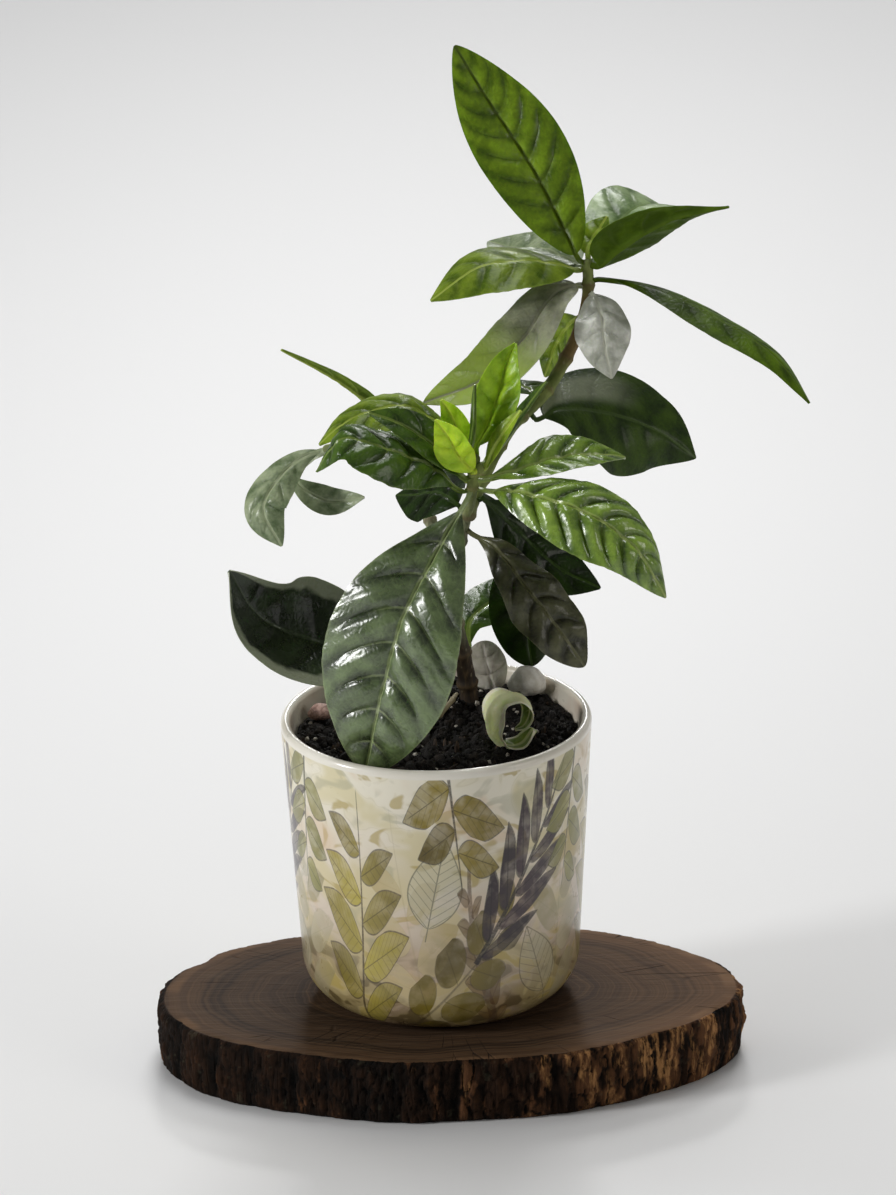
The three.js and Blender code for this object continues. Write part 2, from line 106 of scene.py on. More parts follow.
# Leaves. path: the midrib from the stem to the tip. face: the way the upper side looks. side: used
# instead where the tip curls over, the way the blade's right edge points. width: across the blade at
# its widest point, widest, 0 to 1 along it. base, tip: how full the blade is there, fuller below 1.
# fold, curl: how far each half rises, and how much more by the margin, degrees. wave: how far the
# margin swings. veins: pairs of side veins. pucker: how far the blade swells between them.
# stalk: the share of the path with no blade. look: the name of its finish.
LEAVES = [
    dict(name="leaf_top_upright", look="olive", path=[(51, 38, 270), (46, 43, 280), (36, 50, 299),
         (21, 57, 322), (11, 61, 339)], face=(0.1, -0.9, 0.4), width=29, base=0.65, tip=0.8,
         stalk=0.05, fold=12, curl=-10, veins=9),
    dict(name="leaf_top_back_right", look="sheen", path=[(57, 43, 269), (62, 56, 274),
         (73, 74, 277), (84, 91, 269)], face=(-0.2, -0.5, 0.85), width=26, widest=0.55, base=0.8,
         stalk=0.05, fold=14, veins=5),
    dict(name="leaf_top_right", look="fresh", path=[(58, 39, 268), (67, 34, 277), (82, 29, 287),
         (101, 23, 293)], face=(-0.2, 0.75, 0.7), width=24, widest=0.3, base=0.55, tip=1.5,
         stalk=0.04, fold=8, veins=5),
    dict(name="leaf_top_young", look="young", path=[(54, 41, 271), (56, 45, 275), (61, 51, 281)],
         face=(-0.5, -0.6, 0.6), width=10, base=0.7, fold=16, veins=3),
    dict(name="leaf_top_left", look="bright", path=[(49, 38, 267), (35, 33, 272), (18, 28, 272),
         (1, 23, 262)], face=(0, -0.25, 1), width=27, base=0.65, stalk=0.05, fold=-12, veins=5),
    dict(name="leaf_top_back_left", look="pale", path=[(50, 43, 267), (40, 56, 268), (30, 68, 265),
         (21, 78, 264)], face=(0, -0.2, 1), width=26, base=0.6, stalk=0.05, fold=10, veins=5),
    dict(name="leaf_top_right_long", look="fresh", path=[(58, 38, 264), (76, 32, 262),
         (97, 22, 254), (116, 13, 243), (127, 6, 229)], face=(0.4, -0.1, 0.9), width=20, fold=-14,
         veins=6, pucker=0.25),
    dict(name="leaf_top_hanging_left", look="lit", path=[(49, 36, 262), (42, 30, 260),
         (32, 20, 249), (19, 13, 238), (-2, 8, 231)], face=(-0.45, -0.6, 0.65), width=23, base=0.6,
         tip=0.8, stalk=0.03, fold=10, veins=6),
    dict(name="leaf_top_hanging_front", look="silvery", path=[(55, 34, 260), (58, 24, 256),
         (59, 14, 247), (61, 9, 238)], face=(0.1, -0.7, 0.6), width=18, base=0.7, fold=-10, wave=1,
         veins=4),
    dict(name="leaf_top_hanging_back", look="bright", path=[(50, 37, 250), (44, 44, 240),
         (39, 46, 226)], face=(-0.6, -0.6, 0.4), width=15, fold=10, veins=4),
    dict(name="leaf_middle_right", look="shade", path=[(34, 14, 224), (44, 22, 223), (61, 36, 216),
         (78, 44, 206), (90, 48, 195)], face=(-0.1, -0.7, 0.7), width=40, base=0.8, fold=-8,
         curl=-14, veins=6, pucker=0.25),
    dict(name="leaf_middle_back", look="green", path=[(36, 22, 229), (28, 39, 227), (20, 59, 219)],
         face=(0, 0, 1), width=25, fold=-10, veins=5),
    dict(name="leaf_front_hanging", look="dark", path=[(12, -18, 206), (1, -32, 192),
         (-10, -39, 173), (-18, -38, 145), (-24, -34, 115)], face=(-0.3, -0.9, 0.3), width=46,
         widest=0.55, tip=0.68, fold=10, curl=-16, veins=8, pucker=1.5),
    dict(name="leaf_front_right", look="glossy", path=[(17, -14, 208), (29, -26, 211),
         (51, -36, 207), (66, -40, 197), (77, -40, 178)], face=(0.3, -0.7, 0.65), width=28, fold=-8,
         curl=-18, veins=9, pucker=1.5),
    dict(name="leaf_front_right_upper", look="glossy", path=[(18, -14, 212), (30, -15, 215),
         (43, -12, 218), (56, -7, 217), (65, -2, 214)], face=(-0.1, -0.35, 0.93), width=18, fold=12,
         veins=6, pucker=1),
    dict(name="leaf_front_left", look="green", path=[(9, -14, 208), (0, -21, 219), (-14, -29, 228),
         (-29, -31, 233), (-38, -29, 221)], side=(0.05, 0.93, 0.36), width=25, fold=-10, curl=-10,
         veins=6, pucker=1.2),
    dict(name="leaf_front_left_behind", look="bright", path=[(11, -11, 212), (3, -2, 227),
         (-9, -3, 234), (-27, -7, 231), (-37, -11, 224)], side=(-0.1, 0.97, 0.2), width=24,
         base=0.8, tip=0.8, fold=-10, veins=6, pucker=1),
    dict(name="leaf_front_left_inner", look="green", path=[(11, -17, 213), (0, -18, 226),
         (-10, -20, 234), (-20, -20, 238)], face=(0.1, -0.6, 0.75), width=13, fold=14, veins=4),
    dict(name="leaf_young_lime", look="lime", path=[(14, -18, 216), (9, -21, 223), (6, -23, 230),
         (2, -23, 236)], face=(-0.3, -0.85, 0.35), width=12, base=0.8, fold=14, veins=4),
    dict(name="leaf_young_behind", look="lime", path=[(13, -12, 217), (10, -12, 225), (7, -12, 234),
         (4, -12, 239)], face=(-0.2, -0.9, 0.3), width=9, fold=10, veins=3),
    dict(name="leaf_young_upright", look="bud", path=[(15, -13, 223), (19, -11, 229),
         (23, -10, 240), (26, -9, 251), (29, -8, 257)], face=(-0.1, -0.95, 0.2), width=16, base=0.8,
         fold=32, veins=5),
    dict(name="leaf_young_thin", look="green", path=[(13, -15, 219), (14, -17, 228),
         (15, -17, 246)], face=(-1, -0.2, 0), width=5, fold=10, veins=2),
    dict(name="leaf_young_long", look="green", path=[(18, -12, 217), (24, -7, 222), (31, -4, 231),
         (39, -1, 241)], face=(-0.6, -0.3, 0.7), width=6, fold=20, veins=3),
    dict(name="leaf_young_short", look="young", path=[(18, -16, 216), (23, -18, 227),
         (30, -18, 237)], face=(-0.5, -0.6, 0.6), width=6, fold=16, veins=2),
    dict(name="leaf_front_right_under", look="deep", path=[(17, -8, 203), (28, -3, 190),
         (42, -4, 176), (56, -6, 169)], face=(0.4, -0.75, 0.5), width=23, fold=-10, veins=5),
    dict(name="leaf_front_left_under", look="deep", path=[(8, -8, 201), (2, 3, 201), (-5, 10, 198),
         (-12, 15, 196)], face=(-0.5, -0.3, 0.8), width=22, base=0.7, fold=-8, veins=4),
    dict(name="leaf_low_right", look="brown", path=[(13, -7, 190), (21, -14, 187), (32, -21, 174),
         (42, -24, 161), (50, -24, 148)], face=(0.2, -0.85, 0.5), width=20, widest=0.62, tip=0.65,
         fold=-8, wave=2.2, veins=6, pucker=1.1),
    dict(name="leaf_low_back_right", look="green", path=[(11, 21, 137), (12, 30, 144),
         (22, 46, 147), (35, 62, 148)], face=(0, -0.7, 0.7), width=16, fold=-8, veins=4),
    dict(name="leaf_back_hanging", look="deep", path=[(16, 3, 200), (28, 14, 187), (33, 24, 167),
         (32, 28, 149), (32, 30, 136), (33, 31, 127)], face=(0.1, -0.95, 0.3), width=26,
         widest=0.62, tip=0.6, stalk=0.3, fold=-8, veins=5),
    dict(name="leaf_low_back", look="green", path=[(4, 14, 158), (-4, 34, 156), (-11, 56, 143),
         (-15, 72, 122)], face=(0, 0.4, 0.9), width=26, fold=-10, veins=5),
    dict(name="leaf_low_left_cupped", look="dull", path=[(5, 14, 142), (-15, 12, 140),
         (-37, 8, 146), (-58, 2, 158), (-68, -4, 177)], face=(0.2, -0.8, 0.55), width=40, stalk=0.2,
         base=0.7, fold=8, curl=40, veins=5),
    dict(name="leaf_left_upright", look="bright", path=[(-14, 35, 205), (-17, 33, 219),
         (-30, 27, 233), (-49, 20, 247)], face=(-0.35, 0.1, 0.93), width=8, fold=12, veins=5),
    dict(name="leaf_left_hanging", look="pale", path=[(-36, 42, 203), (-44, 42, 200),
         (-51, 38, 195), (-57, 32, 186), (-51, 27, 174)], face=(-0.4, -0.8, 0.4), width=15,
         widest=0.62, fold=-12, veins=5),
    dict(name="leaf_left_inner", look="pale", path=[(-30, 42, 203), (-40, 50, 197), (-46, 49, 190),
         (-36, 44, 184), (-23, 38, 187)], face=(0, -0.9, 0.4), width=9, stalk=0.45, fold=8,
         veins=4),
]
DROPPED_LEAVES = [
    dict(name="dropped_leaf_rolled", look="yellowing", path=[(32.4, -11, 120.8), (28.5, -11, 115.6),
         (22.7, -11, 115.3), (18.4, -11, 120.1), (18.2, -11, 127.2), (22.1, -11, 132.4),
         (27.9, -11, 132.7), (31.4, -11, 128), (29.4, -11, 122.2), (26.4, -11, 120.8)],
         side=(-0.42, 0.9, 0), width=15, base=0.6, tip=0.6, stalk=0, fold=10, wave=0.6, veins=6,
         pucker=0.3),
    dict(name="dropped_leaf_pale", look="bleached", path=[(20, 33, 118), (18, 33, 126),
         (16, 34, 136)], face=(0.1, -1, 0.2), width=13, base=0.45, tip=0.45, stalk=0, fold=-14,
         veins=3),
]
PLAIN_LEAF = dict(widest=0.5, base=1, tip=0.9, stalk=0.08, fold=0, curl=0, wave=0, veins=5,
                  pucker=0.6, face=None, side=None)
MARGIN_WAVES = 3
STALK_HALF = 0.9
STALK_THICK = 1.7
TIP_HALF = 0.35
VEIN_SLANT = 0.19
VEIN_ARCH = 1.6

# ---- Shapes ----


def unit(vectors):
    """Vectors of length 1 with the same directions."""
    return vectors / np.linalg.norm(vectors, axis=-1, keepdims=True)


def smooth(share):
    """An even rise from 0 to 1 with level ends."""
    share = np.clip(share, 0, 1)
    return share * share * (3 - 2 * share)


def lerp(start, end, share):
    return start + (end - start) * share


class Line:
    """A smooth line through given points, read by its share of length."""

    STEPS = 60  # between two of the points
    LOOK = 0.008  # how far on and back a direction is taken, in shares of the length

    def __init__(self, knots):
        knots = np.array(knots, dtype=float)
        knots = np.vstack([2 * knots[0] - knots[1], knots, 2 * knots[-1] - knots[-2]])
        gaps = np.linalg.norm(np.diff(knots, axis=0), axis=1) ** 0.5
        share = np.linspace(0, 1, self.STEPS, endpoint=False)[:, None]
        stretches = []
        for k in range(len(knots) - 3):
            before, start, end, after = knots[k:k + 4]
            gap0, gap1, gap2 = gaps[k:k + 3]
            leave = (start - before) / gap0 - (end - before) / (gap0 + gap1) + (end - start) / gap1
            arrive = (end - start) / gap1 - (after - start) / (gap1 + gap2) + (after - end) / gap2
            leave, arrive = leave * gap1, arrive * gap1
            stretches.append(start + leave * share
                             + (3 * (end - start) - 2 * leave - arrive) * share ** 2
                             + (2 * (start - end) + leave + arrive) * share ** 3)
        self.points = np.vstack([*stretches, knots[-2]])
        steps = np.linalg.norm(np.diff(self.points, axis=0), axis=1)
        self.reach = np.concatenate([[0], np.cumsum(steps)])
        self.length = self.reach[-1]

    def at(self, share):
        where = np.asarray(share) * self.length
        return np.stack([np.interp(where, self.reach, self.points[:, k]) for k in range(3)], axis=-1)

    def along(self, share):
        """The line's direction."""
        ahead = np.minimum(np.asarray(share) + self.LOOK, 1)
        behind = np.maximum(np.asarray(share) - self.LOOK, 0)
        return unit(self.at(ahead) - self.at(behind))


def ring_faces(rings, count):
    """The four-sided faces between closed rings of count points each."""
    faces = []
    for ring in range(rings - 1):
        for k in range(count):
            a = ring * count + k
            b = ring * count + (k + 1) % count
            faces.append((a, b, b + count, a + count))
    return faces


def tube_faces(rings, count):
    """The faces of a tube through closed rings, with one face over each end."""
    last = (rings - 1) * count
    return [*ring_faces(rings, count), tuple(range(count))[::-1], tuple(range(last, last + count))]


def drawn_in_faces(rings, count):
    """The faces through closed rings that are drawn in to one point before and one after them."""
    faces = [tuple(k + 1 for k in face) for face in ring_faces(rings, count)]
    last = 1 + (rings - 1) * count
    for k in range(count):
        after = (k + 1) % count
        faces += [(0, 1 + after, 1 + k), (last + k, last + after, last + count)]
    return faces


def turns(count):
    """Evenly spaced turns of a full circle, in radians."""
    return np.linspace(0, 2 * np.pi, count, endpoint=False)


def circle(radius, height, count):
    """Points round the planter's axis."""
    return [(radius * math.cos(turn), radius * math.sin(turn), height) for turn in turns(count)]


def add_object(name, data):
    """A new object in the scene for a mesh, a light or a camera."""
    obj = bpy.data.objects.new(name, data)
    bpy.context.scene.collection.objects.link(obj)
    return obj


def add_mesh(name, points, faces, finish, marks=None, sharp_degrees=50):
    """A mesh object from points in millimetres. marks: values that the finish reads at each point."""
    mesh = bpy.data.meshes.new(name)
    mesh.from_pydata((np.asarray(points) * MM).tolist(), [], faces)
    for mark, values in (marks or {}).items():
        layer = mesh.attributes.new(mark, "FLOAT_VECTOR", "POINT")
        layer.data.foreach_set("vector", np.asarray(values, dtype=np.float32).ravel())
    mesh.materials.append(finish)
    mesh.shade_smooth()
    mesh.set_sharp_from_angle(angle=math.radians(sharp_degrees))
    mesh.validate()
    return add_object(name, mesh)


def fit_out(obj, slot, *nodes):
    """Puts a finished piece on the part, in the place of the frame's nodes if any are given."""
    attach(obj, "root")
    if nodes:
        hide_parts(*nodes)


# ---- Finishes ----


def paint(code):
    """A colour from its usual six-digit code, as linear light with full cover."""
    channels = [int(code[k:k + 2], 16) / 255 for k in (1, 3, 5)]
    linear = [c / 12.92 if c <= 0.04045 else ((c + 0.055) / 1.055) ** 2.4 for c in channels]
    return (*linear, 1.0)


def math_step(operation, swapped=False):
    """A method that puts one Math node between a Level, its other numbers and what comes out."""
    def step(level, *others):
        values = (*others, level) if swapped else (level, *others)
        return level.finish.calc(operation, *values)
    return step


class Level:
    """A number that changes over a surface. It adds, multiplies and compares like a number."""

    def __init__(self, finish, socket):
        self.finish = finish
        self.socket = socket

    __add__ = math_step("ADD")
    __radd__ = math_step("ADD", swapped=True)
    __sub__ = math_step("SUBTRACT")
    __rsub__ = math_step("SUBTRACT", swapped=True)
    __mul__ = math_step("MULTIPLY")
    __rmul__ = math_step("MULTIPLY", swapped=True)
    __truediv__ = math_step("DIVIDE")
    __pow__ = math_step("POWER")
    __abs__ = math_step("ABSOLUTE")
    over = math_step("GREATER_THAN")
    under = math_step("LESS_THAN")
    most = math_step("MAXIMUM")
    least = math_step("MINIMUM")
    floor = math_step("FLOOR")
    sine = math_step("SINE")
    sign = math_step("SIGN")

    def __neg__(self):
        return self * -1

    def from_whole(self):
        """How far it is from the nearest whole number."""
        return abs(self - (self + 0.5).floor())

    def rise(self, low, high):
        """0 below low, 1 above high, and a smooth rise between. high may be the lower one."""
        made = self.finish.node("ShaderNodeMapRange", {"Value": self}, interpolation_type="SMOOTHSTEP")
        made.inputs["From Min"].default_value = min(low, high)
        made.inputs["From Max"].default_value = max(low, high)
        made.inputs["To Min"].default_value = 0 if low < high else 1
        made.inputs["To Max"].default_value = 1 if low < high else 0
        return Level(self.finish, made.outputs["Result"])


class Tree:
    """A tree of nodes in the making."""

    def __init__(self, tree):
        self.tree = tree

    def node(self, kind, plugs=None, **settings):
        made = self.tree.nodes.new(kind)
        for key, value in settings.items():
            setattr(made, key, value)
        for key, value in (plugs or {}).items():
            self.plug(made.inputs[key], value)
        return made

    def plug(self, socket, value):
        """Links a socket to an output, or sets it to a value or a colour code."""
        if isinstance(value, Level):
            value = value.socket
        if isinstance(value, str):
            value = paint(value)
        if isinstance(value, bpy.types.NodeSocket):
            self.tree.links.new(value, socket)
        else:
            socket.default_value = value


class Finish(Tree):
    """A material in the making. Each method adds what it names and gives back its output."""

    def __init__(self, name):
        self.material = bpy.data.materials.new(name)
        self.material.use_nodes = True
        super().__init__(self.material.node_tree)
        self.shader = self.tree.nodes["Principled BSDF"]

    def calc(self, operation, *values):
        made = self.node("ShaderNodeMath", dict(enumerate(values)), operation=operation)
        return Level(self, made.outputs[0])

    def place(self):
        """Where a point of the piece is, in millimetres."""
        where = self.node("ShaderNodeTexCoord").outputs["Object"]
        grown = self.node("ShaderNodeVectorMath", {0: where, "Scale": 1 / MM}, operation="SCALE")
        return grown.outputs[0]

    def stretch(self, vector, scale):
        return self.node("ShaderNodeMapping", {"Vector": vector, "Scale": scale}).outputs["Vector"]

    def split(self, vector):
        parts = self.node("ShaderNodeSeparateXYZ", {0: vector}).outputs
        return [Level(self, part) for part in parts]

    def join(self, x, y):
        return self.node("ShaderNodeCombineXYZ", {0: x, 1: y}).outputs[0]

    def mark(self, name):
        """The three values of a mark that the mesh carries."""
        return self.node("ShaderNodeAttribute", attribute_name=name).outputs["Vector"]

    def cloud(self, vector, size, detail=2.0, roughness=0.5, twist=0.0):
        """Soft random patches of about that size, mostly 0.3 to 0.7."""
        made = self.node("ShaderNodeTexNoise", {
            "Vector": vector, "Scale": 1 / size, "Detail": detail, "Roughness": roughness,
            "Distortion": twist})
        return Level(self, made.outputs["Fac"])

    def cells(self, vector, size, feature="DISTANCE_TO_EDGE"):
        """Cells of about that size: how far it is to the cell's edge or middle, in cells."""
        made = self.node("ShaderNodeTexVoronoi", {"Vector": vector, "Scale": 1 / size},
                         feature=feature)
        return Level(self, made.outputs["Distance"])

    def chance(self, x, y=0.0):
        """A random 0 to 1 for each whole x and y."""
        made = self.node("ShaderNodeTexWhiteNoise", {"Vector": self.join(x, y)})
        return Level(self, made.outputs["Value"])

    def blend(self, share, first, second):
        """first where share is 0 and second where it is 1."""
        made = self.node("ShaderNodeMix", {0: share}, data_type="RGBA")
        self.plug(made.inputs[6], first)
        self.plug(made.inputs[7], second)
        return made.outputs[2]

    def ramp(self, share, *stops):
        """A colour that runs through stops, each a place from 0 to 1 and a colour code."""
        made = self.node("ShaderNodeValToRGB", {0: share})
        band = made.color_ramp
        while len(band.elements) < len(stops):
            band.elements.new(0.5)
        for element, (position, code) in zip(band.elements, stops):
            element.position = position
            element.color = paint(code)
        return made.outputs["Color"]

    def bump(self, height, depth, strength=1.0):
        """A normal from a height of 0 to 1 that stands for depth millimetres."""
        plugs = {"Height": height, "Distance": depth * MM, "Strength": strength}
        return self.node("ShaderNodeBump", plugs).outputs["Normal"]

    def done(self, **surface):
        """Plugs the surface's values in, with _ for a space in a socket's name."""
        for key, value in surface.items():
            self.plug(self.shader.inputs[key.replace("_", " ")], value)
        return self.material

# ---- Leaves ----

# upper: the upper side, turning to the light colour where it swells, as painted light. vein: the midrib.
# under: the under side. dull: how rough the wax is. wax: how strong its shine is. lines: how pale the
# side veins are. furrow_shade: how dark the painted shade along them is, and how strong the painted
# light on the swells. glow: how much light comes through the blade. rim: the colour of a curled margin,
# paler partly as its under side and partly as painted light. tip: the colour that the blade turns to in
# its outer half. painted_sheen: a pale painted sheen on one side by the stalk.
LEAF_LOOKS = {
    "dark": dict(upper="#29361b", light="#6f8352", vein="#9dab78", under="#3a472a", dull=0.27, wax=1.5,
                 lines=0.5, furrow_shade=0.4),
    "glossy": dict(upper="#3c5a0c", light="#90b03e", vein="#a8ba66", under="#4c661f", dull=0.24,
                   wax=1.4, lines=0.3, furrow_shade=0.42),
    "deep": dict(upper="#101c04", light="#22370a", vein="#34481a", under="#1a2608", dull=0.32, wax=0.4,
                 lines=0.1),
    "shade": dict(upper="#1f320a", light="#465e18", vein="#465a2a", under="#20300e", dull=0.42, wax=0.35,
                  lines=0.0, furrow_shade=0.2, painted_sheen="#a4aa92"),
    "fresh": dict(upper="#32460a", light="#5f7c16", vein="#4d6214", under="#40560e", dull=0.4, wax=0.2,
                  lines=0.0, furrow_shade=0.25, glow=0.1),
    # sheen: whitish green that stands for a painted sheen.
    "sheen": dict(upper="#48662c", light="#a9bf8a", vein="#8aa068", under="#5c7a3a", dull=0.34,
                  wax=0.8, lines=0.1, furrow_shade=0.25),
    "green": dict(upper="#28420b", light="#4c6a1c", vein="#7f9346", under="#384c1c", dull=0.28,
                  wax=0.6, lines=0.25),
    "bright": dict(upper="#3f570a", light="#83992a", vein="#9cac4e", under="#586f1e", dull=0.38,
                   wax=0.3, lines=0.15, furrow_shade=0.35, glow=0.2),
    # olive: the dark midrib colour is painted shade in its groove.
    "olive": dict(upper="#445c06", light="#8cab22", vein="#4a5c08", under="#4c5c18", dull=0.38,
                  wax=0.5, lines=0.0, furrow_shade=0.28, glow=0.3),
    "lime": dict(upper="#9cc41c", light="#e0fc48", vein="#c4d848", under="#90b028", dull=0.34,
                 wax=0.4, lines=0.15, furrow_shade=0.15, glow=0.35),
    "young": dict(upper="#59730e", light="#a4c032", vein="#c2d462", under="#4c6410", dull=0.34,
                  wax=0.5, lines=0.2, furrow_shade=0.2, glow=0.3),
    "bud": dict(upper="#739a12", light="#b9da36", vein="#a8c83c", under="#5c7c14", dull=0.36, wax=0.35,
                lines=0.1, furrow_shade=0.14, glow=0.35),
    "brown": dict(upper="#20210c", light="#606142", vein="#6c6c4c", under="#33321f", dull=0.4,
                  wax=0.7, lines=0.2, furrow_shade=0.36),
    "dull": dict(upper="#10190a", light="#35432a", vein="#46523a", under="#868c72", dull=0.24, wax=0.9,
                 lines=0.1, furrow_shade=0.3, rim="#9aa088"),
    # lit: grey near the stalk as a painted gloss, turning green in its outer half.
    "lit": dict(upper="#70725e", light="#a5a78e", vein="#9c9e84", under="#6b7448", dull=0.34, wax=0.6,
                lines=0.1, furrow_shade=0.1, glow=0.25, tip="#9fb644"),
    # silvery: pale grey all over, a painted highlight.
    "silvery": dict(upper="#a8ab9c", light="#f4f5ec", vein="#c8cab8", under="#9a9c8e", dull=0.36,
                    wax=0.7, lines=0.1, furrow_shade=0.1),
    "pale": dict(upper="#586a46", light="#b6c09c", vein="#a0aa88", under="#76806a", dull=0.34, wax=0.6,
                 lines=0.1, furrow_shade=0.1),
    "yellowing": dict(upper="#66802c", light="#bac968", vein="#d9dcac", under="#e2e4b4", dull=0.36,
                      wax=0.6, lines=0.4, furrow_shade=0.2, glow=0.25, rim="#f0eed2"),
    "bleached": dict(upper="#b4ae9e", light="#eeeae0", vein="#d4cec2", under="#bcb6a8", dull=0.6,
                     wax=0.2, lines=0.2, furrow_shade=0.1),
}
CURLED_FROM = 0.66  # where a curled margin starts, 0 to 1 out from the midrib


def leaf_finish(name, look):
    """Waxy leaf that swells between furrows along its side veins, with a paler midrib, painted shade
    in the furrows and painted light on the swells.
    """
    finish = Finish(name)
    across, row, under = finish.split(finish.mark("blade"))
    across_mm, along_mm, share = finish.split(finish.mark("lie"))
    out = abs(across)
    place = finish.place()
    upper, light, vein = paint(look["upper"]), look["light"], look["vein"]

    from_vein = row.from_whole()
    off_stalk = share.rise(0, 0.06)
    blade = off_stalk * out.rise(1.0, 0.7)
    # Painted shade: darker along the side veins' furrows, most near the midrib, fading toward the
    # margin.
    furrow_shade = from_vein.rise(0.2, 0.0) * off_stalk * out.rise(1.0, 0.25) * out.rise(0.0, 0.12)
    side_vein = from_vein.rise(0.05, 0.012) * out.rise(0.62, 0.05) * off_stalk
    midrib = (abs(across_mm) / (1.05 - share * 0.5)).rise(1.0, 0.55)
    margin = out.rise(0.95, 1.0)
    pillows = finish.cells(finish.join(across_mm + from_vein * 2.0, along_mm), 2.3)
    net = pillows.rise(0.07, 0.0)

    patches = finish.cloud(place, 8, detail=4).rise(0.38, 0.64)
    # Painted light: the upper side turns to the light colour where the blade swells between the veins.
    swollen = from_vein.rise(0.06, 0.42)
    relief_shading = look.get("furrow_shade", 0.5)
    specks = finish.cloud(place, 1.3).rise(0.35, 0.7)
    tone = swollen * (0.1 + relief_shading * 0.6) + patches * 0.45 + specks * 0.15
    top = finish.blend(tone, upper, light)
    # Painted sheen: a pale band on one half of the blade by the stalk.
    if "painted_sheen" in look:
        sheen_band = across.rise(-0.12, -0.4) * share.rise(0.66, 0.4) * out.rise(0.95, 0.7)
        top = finish.blend(sheen_band * 0.75, top, look["painted_sheen"])
    if "tip" in look:
        top = finish.blend(share.rise(0.3, 0.65) * 0.85, top, look["tip"])
    shadow = (*(0.3 * channel for channel in upper[:3]), 1.0)
    top = finish.blend(furrow_shade * relief_shading, top, shadow)
    top = finish.blend(net * 0.1, top, vein)
    top = finish.blend(side_vein * look["lines"], top, vein)
    bottom = finish.blend(patches * 0.5, look["under"], light)
    raised = from_vein.rise(0.07, 0.02) * blade
    bottom = finish.blend(raised * 0.4 + net * 0.15, bottom, vein)
    colour = finish.blend(under, top, bottom)
    colour = finish.blend((midrib * 0.85).most(margin * 0.3), colour, vein)
    # The curled margin turns paler, partly as its under side and partly as painted light.
    if "rim" in look:
        ragged = (finish.cloud(place, 6) - 0.5) * 0.3
        curled = (out + ragged).rise(CURLED_FROM, CURLED_FROM + 0.14)
        colour = finish.blend(curled * 0.9, colour, look["rim"])

    wrinkles = finish.cloud(place, 2.0, detail=3, roughness=0.6)
    height = pillows.rise(0.0, 0.3) * 0.45 + wrinkles * 0.45 - midrib * 0.3 - raised * 0.25
    shine = finish.cloud(place, 5, detail=3).rise(0.35, 0.75)
    dullness = look["dull"] + shine * 0.1 + under * 0.22
    return finish.done(
        Base_Color=colour, Roughness=dullness, Normal=finish.bump(height, 0.22, 0.7),
        Coat_Weight=look["wax"] * 0.35, Coat_Roughness=0.16,
        Specular_IOR_Level=look["wax"] * 0.45, Subsurface_Weight=look.get("glow", 0.06),
        Subsurface_Radius=(0.3, 0.5, 0.08), Subsurface_Scale=0.002)


NODE_SPACING = 13  # between the swollen rings of the stem, where leaves have grown
SQUARE_ROOT = 1.5  # how far a stalk goes straight out from the bark


def stem_samples(branch, step):
    """Centre points, directions, radii and places along a length of stem, one for each step."""
    line = Line(branch["path"])
    share = np.linspace(0, 1, math.ceil(line.length / step) + 1)
    near_node = np.maximum(0, np.cos(2 * np.pi * share * line.length / NODE_SPACING))
    radius = lerp(*branch["radii"], share) * (1 + 0.16 * near_node ** 3)
    return line.at(share), line.along(share), radius, share


BARK = [stem_samples(branch, step=1) for branch in STEM]
BARK_POINTS = np.vstack([sample[0] for sample in BARK])
BARK_RADII = np.concatenate([sample[2] for sample in BARK])


def seated(path):
    """The path with its root on the bark of the nearest stem, which it leaves squarely."""
    root = np.array(path[0], dtype=float)
    nearest = np.argmin(np.linalg.norm(BARK_POINTS - root, axis=1) - BARK_RADII)
    outward = unit(root - BARK_POINTS[nearest])
    reach = BARK_RADII[nearest] + GAP
    seat, clear = (BARK_POINTS[nearest] + outward * far for far in (reach, reach + SQUARE_ROOT))
    return [seat, clear, *path[1:]]


HALF_ACROSS = np.array([0.03, 0.07, 0.13, 0.2, 0.28, 0.37, 0.46, 0.55, 0.64, 0.73, 0.82, 0.9, 0.96, 1])
ACROSS = np.concatenate([-HALF_ACROSS[::-1], [0], HALF_ACROSS])
STALK_ROWS = 6
ROWS_A_VEIN = 12
NEAR_ENDS = np.array([0.003, 0.008, 0.016, 0.03, 0.97, 0.985, 0.994, 0.998])
ROOT_REACH = 0.9  # how far the stalk goes into the bark
THIN = 0.42  # a blade's thickness between its veins
BROAD = 8  # half the width from which a blade has all of its relief


def outline(share, leaf):
    """Half the blade's width, 0 to 1: rounded to its widest point, then to a tip."""
    rising = np.sin(np.pi / 2 * np.clip(share / leaf["widest"], 0, 1)) ** leaf["base"]
    falling = np.sin(np.pi / 2 * np.clip((1 - share) / (1 - leaf["widest"]), 0, 1)) ** leaf["tip"]
    return np.where(share < leaf["widest"], rising, falling)


def leaf_rows(stalk, veins):
    """Where a leaf's rows of points are along its path, closer at both ends of the blade."""
    blade = np.unique(np.concatenate([np.linspace(0, 1, veins * ROWS_A_VEIN + 1), NEAR_ENDS]))
    return np.concatenate([np.linspace(0, stalk, STALK_ROWS, endpoint=False), lerp(stalk, 1, blade)])


def leaf_directions(leaf, along):
    """The ways to the right across the blade and up out of it, square to the midrib."""
    given = np.array(leaf["side"] or leaf["face"], dtype=float)
    square = unit(given - (along @ given)[..., None] * along)
    if leaf["side"]:
        return square, np.cross(square, along)
    return np.cross(along, square), square


